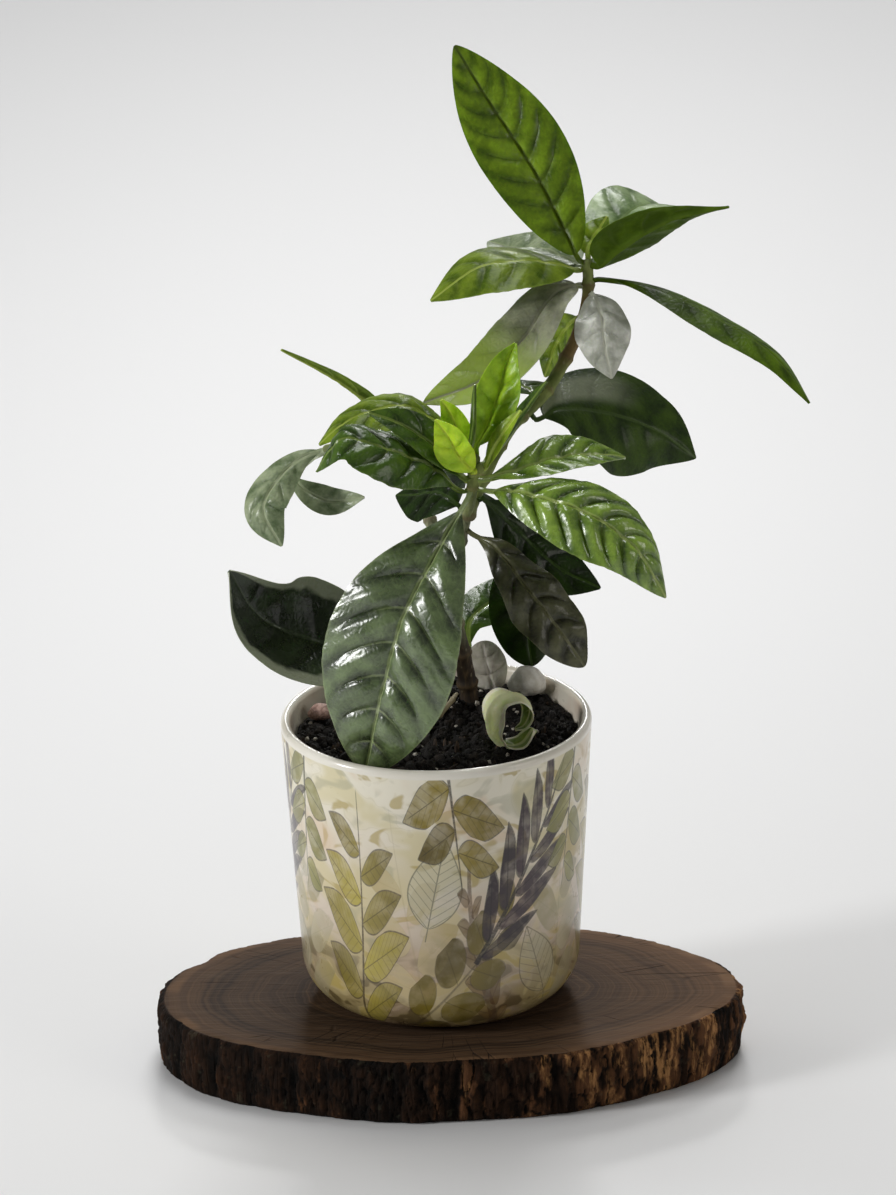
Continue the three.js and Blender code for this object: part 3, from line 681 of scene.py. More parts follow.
def leaf_relief(leaf, across, half, share, row_share, length):
    """How far the blade stands up from its fold: swells between the side veins, a margin that
    swings, dents that differ from leaf to leaf, and a groove along the midrib."""
    out = abs(across)
    grown = np.minimum(1, half / BROAD)
    between = abs(np.sin(np.pi * leaf["veins"] * row_share)) ** 0.7
    flatter = 1 - 0.55 * smooth((share - 0.5) / 0.4)
    swell = 1.5 * leaf["pucker"] * between * np.sin(np.pi * out ** 0.7) * grown * flatter
    swing = leaf["wave"] * out ** 2 * np.sin(2 * np.pi * MARGIN_WAVES * share + across)
    phase = sum(leaf["path"][0]) * 0.37
    dents = np.sin(length * 0.31 + 2.1 * across + phase) * np.sin(length * 0.13 - phase)
    dents += 0.5 * np.sin(length * 1.3 + phase) * np.sin(across * half * 1.1 - phase)
    dents = 0.4 * leaf["pucker"] * dents * grown
    groove = 0.3 * np.exp(-(out * half / 0.8) ** 2) * grown
    return swell + (swing + dents) * np.sin(np.pi * share) - groove


def leaf_body(leaf, on_stem):
    """The points, faces and marks of one leaf, with rows that follow its side veins.

    The mark blade holds how far out across the blade a point is, -1 to 1, the side veins passed from
    the stalk, and 1 on the under side. lie holds millimetres across and along, and the blade's share.
    """
    leaf = {**PLAIN_LEAF, **leaf}
    line = Line(seated(leaf["path"]) if on_stem else leaf["path"])
    stalk, width, veins = leaf["stalk"], leaf["width"], leaf["veins"]
    stalk_half = min(STALK_HALF, 0.35 + width / 25)  # a narrow leaf has a thinner stalk
    stalk_thick = min(STALK_THICK, 2 * stalk_half)

    rows = leaf_rows(stalk, veins)
    start, across = np.meshgrid(rows, ACROSS, indexing="ij")
    out = abs(across)
    row_share = np.clip((start - stalk) / (1 - stalk), 0, 1)
    station = start + VEIN_SLANT * out ** VEIN_ARCH * np.sin(np.pi * row_share) * (1 - stalk)
    share = np.clip((station - stalk) / (1 - stalk), 0, 1)
    length = station * line.length
    along = line.along(station)
    right, up = leaf_directions(leaf, along)

    half = width / 2 * outline(share, leaf) + lerp(stalk_half, TIP_HALF, share)
    lift = np.radians(leaf["fold"] + leaf["curl"] * out / 2)
    rise = out * half * np.sin(lift) + leaf_relief(leaf, across, half, share, row_share, length)
    upper = line.at(station) + right * (across * half * np.cos(lift))[..., None] + up * rise[..., None]

    stalkness = 1 - smooth(share / 0.15)
    rib = np.exp(-(out * half) ** 2) * (0.9 - 0.6 * share) * (1 - stalkness)
    edge = 1 - 0.5 * smooth((out - 0.85) / 0.15)
    thick = (THIN + (stalk_thick - THIN) * stalkness * (1 - out ** 2)) * edge + rib
    lean = np.sign(across) * np.radians(leaf["fold"] + leaf["curl"] * out)
    down = -up * np.cos(lean)[..., None] + right * np.sin(lean)[..., None]
    under = upper + down * thick[..., None]
    if on_stem:
        upper[0] -= along[0] * ROOT_REACH
        under[0] -= along[0] * ROOT_REACH

    rings = np.concatenate([upper, under[:, ::-1]], axis=1)
    count = rings.shape[1]
    faces = ring_faces(len(rows), count)
    last = (len(rows) - 1) * count
    for k in range(len(ACROSS) - 1):
        faces.append((k, count - 1 - k, count - 2 - k, k + 1))
        faces.append((last + k, last + k + 1, last + count - 2 - k, last + count - 1 - k))
    blade = np.stack([across, row_share * veins, np.zeros_like(across)], axis=-1)
    lie = np.stack([across * half, length, share], axis=-1)
    sides = {"blade": (blade, blade + [0, 0, 1]), "lie": (lie, lie)}
    marks = {mark: np.concatenate([above, below[:, ::-1]], axis=1).reshape(-1, 3)
             for mark, (above, below) in sides.items()}
    return rings.reshape(-1, 3), faces, marks


def settled(points, node):
    """The points, raised or lowered until they stand as low as the frame's node."""
    return points + [0, 0, lowest(node) - points[:, 2].min()]


def make_leaves():
    """All leaves, each in the finish of its look. The fallen ones rest where the frame's do."""
    finishes = {name: leaf_finish("leaf_" + name, look) for name, look in LEAF_LOOKS.items()}
    slots = {part["node"]: part["material_slot"] for part in frame["record"]["subparts"]}
    for leaf in LEAVES + DROPPED_LEAVES:
        name = leaf["name"]
        on_stem = leaf in LEAVES
        points, faces, marks = leaf_body(leaf, on_stem)
        if not on_stem:
            points = settled(points, name)
        obj = add_mesh("fine_" + name, points, faces, finishes[leaf["look"]], marks)
        fit_out(obj, slots[name], name)


# ---- Stem ----

STEM_SIDES = 28
STEM_STEP = 0.9
WOODY_HEIGHT = 110  # over the rim, where the oldest bark has given way to the youngest
DOME = np.array([0.98, 0.85, 0.6, 0.3])  # rings of a domed end, from its top, in shares of its radius
NUBS = [(13.5, -15.4, 214.5), (16.4, -15.6, 216), (12.2, -12.8, 217.5)]  # stumps of shed leaves
NUB_RADIUS = 1.5
NUB_SIDES = 14
NUB_RINGS = 9


def stem_finish():
    """Bark that is brown and cracked low down, grey-green higher up, and fresh green at the tips."""
    finish = Finish("stem_bark")
    age, _, scar = finish.split(finish.mark("growth"))
    place = finish.place()
    streaks = finish.cloud(finish.stretch(place, (1, 1, 0.18)), 1.2, detail=4, roughness=0.6)
    blotches = finish.cloud(place, 6, detail=3)
    young = finish.ramp(blotches, (0.3, "#5d6a2c"), (0.7, "#8b9650"))
    middle = finish.ramp(streaks, (0.3, "#5d6044"), (0.75, "#a0a480"))
    old = finish.ramp(streaks, (0.3, "#1d150d"), (0.55, "#3b2d1b"), (0.8, "#6b573a"))
    patchy_age = age + blotches * 0.2
    colour = finish.blend(patchy_age.rise(0.14, 0.34), old, middle)
    colour = finish.blend(patchy_age.rise(0.75, 1.0), colour, young)
    # The upper shoot keeps a length of rusty bark under its leaves.
    height = finish.split(place)[2] + blotches * 8
    rusty = height.rise(238, 246) * height.rise(268, 260)
    colour = finish.blend(rusty * 0.7, colour, "#7c5236")
    dots = finish.cells(finish.stretch(place, (1, 1, 0.5)), 2.6, "F1").rise(0.2, 0.1)
    colour = finish.blend(dots * 0.35, colour, "#a39a7c")
    colour = finish.blend(scar * 0.6, colour, "#6a5638")
    return finish.done(Base_Color=colour, Roughness=0.62 + streaks * 0.2,
                       Normal=finish.bump(streaks * 0.8 + dots * 0.3, 0.35, 0.8))


def stem_body(branch):
    """One length of stem, with ridges, leaf scars on its swollen rings, and domed ends.

    The mark growth holds its age, 0 at the soil to 1, millimetres from its root, and the scars.
    """
    centre, along, radius, share = stem_samples(branch, STEM_STEP)
    ends = len(DOME)
    wide = np.sqrt(1 - DOME ** 2)
    foot = centre[0] - along[0] * (DOME * radius[0])[:, None]
    tip = centre[-1] + along[-1] * (DOME[::-1] * radius[-1])[:, None]
    centre = np.vstack([foot, centre, tip])
    along = np.vstack([np.repeat(along[:1], ends, axis=0), along, np.repeat(along[-1:], ends, axis=0)])
    radius = np.concatenate([wide * radius[0], radius, wide[::-1] * radius[-1]])
    share = np.pad(share, ends, constant_values=(0, 1))[:, None]

    right = unit(np.array([1.0, 0, 0]) - along[:, :1] * along)
    back = np.cross(along, right)
    turn = turns(STEM_SIDES)
    length = share * Line(branch["path"]).length
    swollen = np.maximum(0, np.cos(2 * np.pi * length / NODE_SPACING))
    ridges = 0.04 * np.sin(5 * turn + share * 9) + 0.03 * np.sin(11 * turn - length)
    wide = radius[:, None] * (1 + ridges + 0.1 * swollen ** 12)
    points = (centre[:, None] + right[:, None] * (np.cos(turn) * wide)[..., None]
              + back[:, None] * (np.sin(turn) * wide)[..., None])
    growth = np.empty((len(centre), STEM_SIDES, 3))
    growth[..., 0] = smooth((points[..., 2] - RIM_Z) / WOODY_HEIGHT)
    growth[..., 1] = length
    growth[..., 2] = swollen ** 16
    return points.reshape(-1, 3), tube_faces(len(centre), STEM_SIDES), growth.reshape(-1, 3)


def nub_body(middle):
    """A blunt bud scale or stump, a little longer than wide."""
    points = []
    for ring in range(NUB_RINGS):
        tilt = math.pi * (ring + 0.5) / NUB_RINGS
        for turn in turns(NUB_SIDES):
            wide = NUB_RADIUS * math.sin(tilt) * (1 + 0.1 * math.sin(3 * turn + middle[0]))
            points.append((middle[0] + wide * math.cos(turn), middle[1] + wide * math.sin(turn),
                           middle[2] - 1.25 * NUB_RADIUS * math.cos(tilt)))
    growth = np.tile([1.0, 0.0, 0.0], (len(points), 1))
    return np.array(points), tube_faces(NUB_RINGS, NUB_SIDES), growth


def make_stem():
    """The three lengths of stem and the stumps, as one piece."""
    points, faces, growth = [], [], []
    for body in [*map(stem_body, STEM), *map(nub_body, NUBS)]:
        start = sum(len(group) for group in points)
        points.append(body[0])
        faces += [tuple(start + k for k in face) for face in body[1]]
        growth.append(body[2])
    obj = add_mesh("fine_stem", np.vstack(points), faces, stem_finish(),
                   {"growth": np.vstack(growth)}, sharp_degrees=80)
    fit_out(obj, "stem_bark", "stem")


# ---- Planter ----

AROUND = 192
PRINT_REPEATS = 3
PRINT_TOP = 96.8  # over the foot, where the plain lip starts
LIP = WALL / 2


def inner_radius(up):
    """The planter's inner radius at a height over its foot."""
    share = max(0, (up - CORNER_ROUND) / (PLANTER_HEIGHT - CORNER_ROUND))
    return CORNER_RADIUS + (RIM_RADIUS - CORNER_RADIUS) * share - WALL


def planter_profile():
    """The planter's outline from the middle of its foot, round the lip and back in to its floor, and
    how many of its points are outside."""
    top = PLANTER_HEIGHT
    points = [(0, 0.6), (FOOT_RADIUS - 6, 0.6), (FOOT_RADIUS - 4.6, 0.1), (FOOT_RADIUS - 3, 0)]
    for turn in np.linspace(0, np.pi / 2, 14):
        points.append((lerp(FOOT_RADIUS, CORNER_RADIUS, math.sin(turn)),
                       CORNER_ROUND * (1 - math.cos(turn))))
    for share in np.linspace(0.1, 1, 12):
        points.append((lerp(CORNER_RADIUS, RIM_RADIUS, share), lerp(CORNER_ROUND, top - 2.2, share)))
    for turn in np.linspace(0.1, np.pi - 0.1, 14):
        points.append((RIM_RADIUS - LIP + LIP * math.cos(turn), top - 2.1 + 2.0 * math.sin(turn)))
    outer = len(points) - 4
    flare = (RIM_RADIUS - CORNER_RADIUS) / (top - CORNER_ROUND)
    inside = CORNER_RADIUS - WALL
    for share in np.linspace(0.97, 0, 16):
        z = lerp(FLOOR + 14, top - 2, share)
        points.append((inside + flare * (z - CORNER_ROUND), z))
    points += [(0.98 * inside, FLOOR + 9), (0.93 * inside, FLOOR + 5), (0.86 * inside, FLOOR + 2),
               (0.75 * inside, FLOOR), (0, FLOOR)]
    return points, outer


class Print:
    """The printed pattern: motifs laid one over another on the planter's pale glaze."""

    def __init__(self, finish):
        self.finish = finish
        place = finish.place()
        x, y, z = finish.split(place)
        self.turn = finish.calc("ARCTAN2", x, -y)
        self.up = z - FOOT_Z
        self.bleed = finish.cloud(place, 6, detail=4).rise(0.3, 0.68)
        self.grain = finish.cloud(place, 0.8)
        self.wobble = (finish.cloud(place, 4.5) - 0.5) * 2.6

    def local(self, centre, foot, heading, bend=0.0):
        """Distances along and across a motif that starts at a place on the planter, in millimetres.

        centre: degrees round from the front. The motif repeats round the planter. foot: its height.
        heading: degrees from upright. bend: how far it turns aside for each millimetre along, squared.
        """
        period = 2 * math.pi / PRINT_REPEATS
        share = (self.turn - math.radians(centre)) / period + 0.5
        x = (share - share.floor() - 0.5) * (period * RIM_RADIUS)
        y = self.up - foot
        turn = math.radians(heading)
        along = x * math.sin(turn) + y * math.cos(turn)
        aside = x * math.cos(turn) - y * math.sin(turn) - along * along * bend
        return along, aside

    def sprig(self, centre, foot, heading, reach, leaf, wide, spacing, angle, bend=0.0,
              round_leaf=False, ribs=0.0, stalk=0.7):
        """A twig with leaves on both sides. Gives the leaves, their ink, and a tone for each leaf.

        leaf, wide: a leaf's length and half its width. spacing, angle: between leaves on one side and
        out from the twig. ribs: between a leaf's side veins, 0 for none. stalk: half the twig's width.
        """
        along, aside = self.local(centre, foot, heading, bend)
        lean = math.radians(angle)
        out = abs(aside)
        row = (along - out / math.tan(lean)) / spacing + aside.sign() * 0.25
        index = row.floor()
        count = math.floor((reach - leaf * 0.4) / spacing)
        inside = index.over(-0.5) * index.under(count - 0.5)
        share = (index + 0.5) / count
        size = 1 - abs(share - 0.35) * 0.6
        reached = out / (math.sin(lean) * leaf) / size
        across = abs(row - index - 0.5) * (spacing * math.sin(lean))
        if round_leaf:
            off_middle = reached * 2 - 1.15
            swell = (1 - off_middle * off_middle).most(0.0) ** 0.5
        else:
            swell = (reached.most(0.0).least(1.0) ** 0.8 * math.pi).sine()
        edge = swell * size * wide - across + self.wobble * 0.16
        within = inside * reached.under(1.0) * reached.over(0.02)
        leaves = edge.rise(0.0, 0.3) * within
        line = abs(edge).rise(0.34, 0.1) * within
        rib = across.rise(0.3, 0.08) * leaves * reached.rise(0.95, 0.8)
        if ribs:
            slant = (reached * size * leaf - across * 0.8) / ribs
            rib = rib.most(slant.from_whole().rise(0.11, 0.03) * leaves * 0.5)
        taper = stalk * (1 - along / reach * 0.6)
        twig = (taper - out).rise(0.0, 0.35) * along.over(0.0) * along.rise(reach, reach - 3)
        ink = (line * 0.9).most(rib * 0.75).most(twig)
        tone = self.finish.chance(index * 2 + aside.sign(), centre) * 0.6 + reached * 0.4
        return leaves, ink, tone

    def lone_leaf(self, centre, foot, heading, reach, wide, fill):
        """One big leaf drawn in outline, with its midrib and side veins. fill: how full of colour."""
        along, aside = self.local(centre, foot, heading)
        out = abs(aside)
        share = (along / reach).most(0.0).least(1.0)
        edge = (share ** 0.75 * math.pi).sine() * wide - out
        within = edge.rise(0.0, 0.3)
        veins = ((along - out * 0.9) / 3.4).from_whole().rise(0.1, 0.03) * within
        midrib = out.rise(0.34, 0.12) * along.over(-5.0) * along.under(reach)
        line = abs(edge).rise(0.4, 0.14) * along.over(0.0) * along.under(reach)
        return within * fill, line.most(midrib).most(veins * 0.7), 0.5


# The printed motifs, from the back to the front: pale shapes, then drawn leaves, then sprigs. place:
# degrees round from the front, height over the foot, and degrees from upright. cover: how dense the
# colour is, pale to deep. ink, line: how dense the drawing is where it's thinned, and its colour.
MOTIFS = [
    dict(place=(-4, 4, -14), shape=dict(reach=84, leaf=24, wide=8, spacing=19, angle=58, bend=0.001),
         cover=0.8, pale="#cfc096", deep="#a8935c", ink=0.2, line="#8f8252"),
    dict(place=(52, 6, 6), shape=dict(reach=80, leaf=22, wide=7.5, spacing=18, angle=56, bend=-0.001),
         cover=0.8, pale="#bdb394", deep="#8f8560", ink=0.25, line="#7a794c"),
    dict(place=(-5, 42, 12), shape=dict(reach=34, wide=9.5, fill=0.6), cover=0.85,
         pale="#cbc9b6", deep="#b5b49c", ink=0.9, line="#6b6a5a"),
    dict(place=(47, 12, -20), shape=dict(reach=28, wide=8.5, fill=0.55), cover=0.85,
         pale="#bdb59c", deep="#a39a7c", ink=0.85, line="#655d48"),
    dict(place=(26, 0, -26), shape=dict(reach=66, leaf=10, wide=3.2, spacing=11, angle=46, bend=0.004,
                                        stalk=2),
         cover=0.9, pale="#94794a", deep="#5a4528", ink=0.8, line="#553d27"),
    dict(place=(-35, 2, 5), shape=dict(reach=90, leaf=25, wide=6.6, spacing=17.5, angle=48,
                                       bend=-0.0006, ribs=2.6),
         cover=0.95, pale="#b5a644", deep="#6c5f28", line="#423722"),
    dict(place=(-15, 2, 50), shape=dict(reach=70, leaf=15, wide=7.2, spacing=15.5, angle=66,
                                        bend=-0.002, round_leaf=True),
         cover=1, pale="#807026", deep="#43381a", ink=0.6, line="#32290f"),
    dict(place=(14, 28, 34), shape=dict(reach=78, leaf=32, wide=3.5, spacing=12.6, angle=30,
                                        bend=-0.0012, stalk=1.2),
         cover=1.05, pale="#46353a", deep="#1f161b", line="#140e11"),
    dict(place=(4, 98, 174), shape=dict(reach=44, leaf=22, wide=7.6, spacing=16, angle=58, ribs=3.2),
         cover=1, pale="#948228", deep="#584b1e", line="#2c230f"),
    dict(place=(-58, 98, 186), shape=dict(reach=52, leaf=17, wide=5.8, spacing=15, angle=54),
         cover=0.95, pale="#a09a50", deep="#62642f", line="#403f22"),
]


def planter_finish():
    """Glossy glaze over a soft printed pattern of sprigs and leaves, with a plain lip and inside.

    The mark wall is 1 on the inside.
    """
    finish = Finish("printed_glaze")
    pattern = Print(finish)
    place = finish.place()
    up = pattern.up
    inside = finish.split(finish.mark("wall"))[0]
    lip = finish.blend(finish.cloud(place, 25).rise(0.3, 0.7), "#efebdf", "#e2dccd")
    # The ground darkens toward the foot, partly the glaze's own tint and partly painted shade.
    ground = finish.ramp(up / PLANTER_HEIGHT, (0.02, "#a68f7a"), (0.4, "#d2c3b0"), (0.9, "#e9e3d0"))

    wash = finish.cloud(place, 21, twist=0.6)
    blot = finish.cloud(finish.stretch(place, (1, 1, 1.6)), 17, twist=1.0)
    # The brown washes by the foot are partly print and partly painted shade.
    low = up.rise(46, 8)
    washes = [
        (wash.rise(0.46, 0.6) * 0.5, "#c9bb78"),
        (abs(wash - 0.5).rise(0.01, 0.0) * 0.15, "#a3965a"),
        (blot.rise(0.54, 0.62) * 0.65, "#a8923c"),
        (wash.rise(0.43, 0.3) * 0.4, "#d6b48c"),
        (blot.rise(0.42, 0.32) * 0.4, "#9c9c80"),
        (blot.rise(0.6, 0.5) * low * 0.6, "#7b6838"),
        (blot.rise(0.46, 0.4) * low * 0.75, "#4f3f1f"),
    ]
    colour = ground
    for cover, tint in washes:
        colour = finish.blend(cover, colour, tint)

    for motif in MOTIFS:
        draw = pattern.sprig if "leaf" in motif["shape"] else pattern.lone_leaf
        leaves, ink, tone = draw(*motif["place"], **motif["shape"])
        tint = finish.blend(tone, motif["pale"], motif["deep"])
        cover = leaves * (0.65 + pattern.bleed * 0.35) * motif["cover"]
        colour = finish.blend(cover, colour, tint)
        if "ink" in motif:
            ink = ink * motif["ink"]
        colour = finish.blend(ink * (0.5 + pattern.grain * 0.6), colour, motif["line"])

    colour = finish.blend(up.rise(PRINT_TOP + 0.6, PRINT_TOP), lip, colour)
    inner = finish.blend(finish.cloud(place, 14).rise(0.4, 0.65), "#e6dfcf", "#d8c8b6")
    colour = finish.blend(inside, colour, inner)
    # Watering has left a brown tide mark over the soil.
    soil_up = PLANTER_HEIGHT - SOIL_BELOW_RIM
    damp = finish.cloud(place, 5, detail=4)
    tide = inside * (up + damp * 9).rise(soil_up + 1, soil_up - 12)
    colour = finish.blend(tide * 0.55, colour, "#5b4a38")

    waver = finish.cloud(place, 14)
    pits = finish.cells(place, 6, "F1").rise(0.06, 0.0)
    return finish.done(
        Base_Color=colour, Roughness=0.24 + finish.cloud(place, 6) * 0.1,
        Normal=finish.bump(waver + pits * -0.05, 0.35, 0.25),
        Coat_Weight=0.4, Coat_Roughness=0.07, Specular_IOR_Level=0.4)


def make_planter():
    """The pot, turned from its outline."""
    profile, outer = planter_profile()
    (_, foot), *sides, (_, floor) = profile
    points = [(0.0, 0.0, FOOT_Z + foot)]
    for radius, z in sides:
        points += circle(radius, FOOT_Z + z, AROUND)
    points.append((0.0, 0.0, FOOT_Z + floor))
    wall = np.zeros((len(points), 3))
    wall[1 + (outer - 1) * AROUND:] = 1
    obj = add_mesh("fine_planter", points, drawn_in_faces(len(sides), AROUND), planter_finish(),
                   {"wall": wall}, sharp_degrees=60)
    fit_out(obj, "glaze", "planter")


# ---- Soil ----

SOIL_RINGS = 60
SOIL_SIDES = 150


def soil_height(x, y):
    """The soil's surface: a slope up to the back with a mound round the stem, and clods."""
    from_mound = (x - MOUND_AT[0]) ** 2 + (y - MOUND_AT[1]) ** 2
    mound = SOIL_MOUND * math.exp(-from_mound / MOUND_SPREAD)
    lumps = (math.sin(x * 0.61 + y * 0.23) * math.cos(y * 0.53 - x * 0.17)
             + 0.6 * math.sin(x * 0.29 - y * 0.71))
    clods = noise.noise(Vector((x, y, 0)) * 0.35) + 0.5 * noise.noise(Vector((x, y, 9)) * 0.9)
    return RIM_Z - SOIL_BELOW_RIM + SOIL_TILT * y + mound + 0.8 * lumps + 0.9 * clods


def soil_finish():
    """Damp dark compost: fine crumbs and short paler fibres."""
    finish = Finish("compost")
    place = finish.place()
    crumbs = finish.cells(place, 1.1, "F1")
    tone = finish.cloud(place, 4, detail=4)
    colour = finish.ramp(tone, (0.3, "#080604"), (0.55, "#15100b"), (0.75, "#2b2118"))
    fibres = finish.cloud(finish.stretch(place, (0.35, 2.2, 1)), 1.5, detail=3).rise(0.66, 0.74)
    colour = finish.blend(fibres * 0.7, colour, "#4a3624")
    height = crumbs * -0.8 + finish.cloud(place, 0.5, detail=3) * 0.5
    return finish.done(Base_Color=colour, Roughness=0.82 + tone * 0.15,
                       Normal=finish.bump(height, 0.5, 1.0))


def soil_surface(margin=0.0):
    """Points in rings on the soil's surface, from a margin inside its edge to the middle."""
    edge = inner_radius(PLANTER_HEIGHT - SOIL_BELOW_RIM) - GAP - margin
    points = []
    for radius in np.linspace(edge, 1.0, SOIL_RINGS):
        points += [(x, y, soil_height(x, y)) for x, y, _ in circle(radius, 0, SOIL_SIDES)]
    return points


def make_soil():
    """The fine soil body, as large as the frame's."""
    base = inner_radius(0)
    wall = [(0.75 * base, FLOOR), (0.93 * base, FLOOR + 5), (base, FLOOR + 14)]
    points = [(0.0, 0.0, FOOT_Z + FLOOR + GAP)]
    for radius, up in wall:
        points += circle(radius - GAP, FOOT_Z + up + GAP, SOIL_SIDES)
    points += soil_surface()
    points.append((0.0, 0.0, soil_height(0, 0)))
    faces = drawn_in_faces(len(wall) + SOIL_RINGS, SOIL_SIDES)
    fit_out(add_mesh("fine_soil", points, faces, soil_finish(), sharp_degrees=180), "soil", "soil")


def open_soil(margin):
    """The soil's surface, less a margin at the planter's wall, to strew things on."""
    mesh = bpy.data.meshes.new("soil_top")
    points = np.array(soil_surface(margin)) * MM
    mesh.from_pydata(points.tolist(), [], ring_faces(SOIL_RINGS, SOIL_SIDES))
    return add_object("soil_top", mesh)


class Strewing(Tree):
    """A Geometry Nodes tree in the making, for what is strewn over a surface."""

    def __init__(self, name, inputs):
        super().__init__(bpy.data.node_groups.new(name, "GeometryNodeTree"))
        face = self.tree.interface
        face.new_socket("Surface", in_out="INPUT", socket_type="NodeSocketGeometry")
        self.values = {}
        for label, (kind, value) in inputs.items():
            socket = face.new_socket(label, in_out="INPUT", socket_type=kind)
            self.values[socket.identifier] = value
        face.new_socket("Pieces", in_out="OUTPUT", socket_type="NodeSocketGeometry")
        self.start = self.node("NodeGroupInput")

    def run(self, pieces, surface, name):
        """The pieces over a surface, as one plain mesh object. The surface is removed."""
        self.node("NodeGroupOutput", {"Pieces": pieces})
        modifier = surface.modifiers.new(name, "NODES")
        modifier.node_group = self.tree
        for identifier, value in self.values.items():
            modifier[identifier] = value
        graph = bpy.context.evaluated_depsgraph_get()
        mesh = bpy.data.meshes.new_from_object(surface.evaluated_get(graph))
        surface.modifiers.remove(modifier)
        bpy.data.objects.remove(surface)
        return add_object(name, mesh)


def strewn(name, finish, spread, size, shape, seed, margin, roundness=1, sink=0.3):
    """Small bits strewn over the soil: spread for each square metre, size in millimetres, and shape
    the most they are drawn out each way. Each is a ball of few faces, bent out of round."""
    tree = Strewing(name, {
        "Spread": ("NodeSocketFloat", float(spread)),
        "Smallest": ("NodeSocketFloat", size[0] * MM),
        "Largest": ("NodeSocketFloat", size[1] * MM),
        "Seed": ("NodeSocketInt", seed),
    })
    given = tree.start.outputs

    def chance(low, high, kind="FLOAT_VECTOR"):
        """A random vector or number between two others for each bit."""
        first = 0 if kind == "FLOAT_VECTOR" else 2
        plugs = {first: low, first + 1: high, "Seed": given["Seed"]}
        return tree.node("FunctionNodeRandomValue", plugs, data_type=kind).outputs[first // 2]

    places = tree.node("GeometryNodeDistributePointsOnFaces", {
        "Mesh": given["Surface"], "Density": given["Spread"], "Seed": given["Seed"]})
    ball = tree.node("GeometryNodeMeshIcoSphere", {"Radius": 1.0, "Subdivisions": roundness})
    knock = tree.node("ShaderNodeTexNoise", {"Scale": 1.3, "Detail": 1.0})
    offset = tree.node("ShaderNodeVectorMath", {0: knock.outputs["Color"], 1: (0.5, 0.5, 0.5)},
                       operation="SUBTRACT")
    bent = tree.node("GeometryNodeSetPosition", {
        "Geometry": ball.outputs["Mesh"], "Offset": offset.outputs[0]})
    drawn = chance((0.6, 0.6, 0.6), shape)
    grown = chance(given["Smallest"], given["Largest"], "FLOAT")
    scale = tree.node("ShaderNodeVectorMath", {0: drawn, "Scale": grown}, operation="SCALE")
    placed = tree.node("GeometryNodeInstanceOnPoints", {
        "Points": places.outputs["Points"], "Instance": bent.outputs["Geometry"],
        "Rotation": chance((0, 0, 0), (6.28, 6.28, 6.28)), "Scale": scale.outputs[0]})
    lifted = tree.node("GeometryNodeTranslateInstances", {
        "Instances": placed.outputs["Instances"], "Translation": (0, 0, sink * size[0] * MM),
        "Local Space": False})
    real = tree.node("GeometryNodeRealizeInstances", {"Geometry": lifted.outputs["Instances"]})
    dressed = tree.node("GeometryNodeSetMaterial", {
        "Geometry": real.outputs["Geometry"], "Material": finish})
    return tree.run(dressed.outputs["Geometry"], open_soil(margin), name)


def perlite_finish():
    """Puffed white grains, dusted with soil."""
    finish = Finish("perlite")
    place = finish.place()
    dust = finish.cloud(place, 1.2, detail=3)
    colour = finish.ramp(dust, (0.35, "#8d8578"), (0.6, "#d9d4c8"))
    pores = finish.cells(place, 0.5, "F1")
    return finish.done(Base_Color=colour, Roughness=0.85 + dust * 0.1,
                       Normal=finish.bump(pores, 0.2, 0.8))


def chip_finish():
    """Flakes of composted bark, red-brown with paler torn faces."""
    finish = Finish("bark_chips")
    place = finish.place()
    grain = finish.cloud(finish.stretch(place, (3, 0.5, 0.5)), 1.6, detail=3)
    colour = finish.ramp(grain, (0.3, "#17100a"), (0.55, "#33251a"), (0.75, "#6f5a45"))
    return finish.done(Base_Color=colour, Roughness=0.75 + grain * 0.2,
                       Normal=finish.bump(grain, 0.3, 0.8))


def make_crumbs():
    """What lies on the soil: crumbs and clods of its own, grains of perlite, and chips of bark."""
    compost = bpy.data.materials["compost"]
    fit_out(strewn("soil_crumbs", compost, spread=380000, size=(0.35, 1.0), shape=(1.3, 1.3, 1.0),
                   seed=4, margin=0.8), "soil")
    fit_out(strewn("soil_clods", compost, spread=65000, size=(0.9, 2.1), shape=(1.3, 1.2, 0.9),
                   seed=11, margin=2.5, roundness=2), "soil")
    fit_out(strewn("perlite", perlite_finish(), spread=9000, size=(0.5, 1.2), shape=(1.2, 1.2, 1.0),
                   seed=23, margin=3, roundness=2, sink=0.6), "pebble")
    fit_out(strewn("bark_chips", chip_finish(), spread=12000, size=(0.7, 1.4), shape=(2.6, 1.0, 0.5),
                   seed=31, margin=3, roundness=2, sink=0.8), "stem_bark")


# ---- Stones and twig ----


def stone_finish(name, pale, dark, vein):
    """A small waterworn stone, mottled and veined."""
    finish = Finish(name)
    place = finish.place()
    mottle = finish.cloud(place, 3, detail=5, roughness=0.65)
    colour = finish.blend(mottle.rise(0.35, 0.65), dark, pale)
    thread = abs(finish.cloud(place, 6, twist=0.8) - 0.5).rise(0.02, 0.0)
    colour = finish.blend(thread * 0.6, colour, vein)
    height = finish.cloud(place, 0.8, detail=4)
    return finish.done(Base_Color=colour, Roughness=0.5 + mottle * 0.2,
                       Normal=finish.bump(height, 0.25, 0.6))


STONE_SIDES = 56
STONE_RINGS = 33


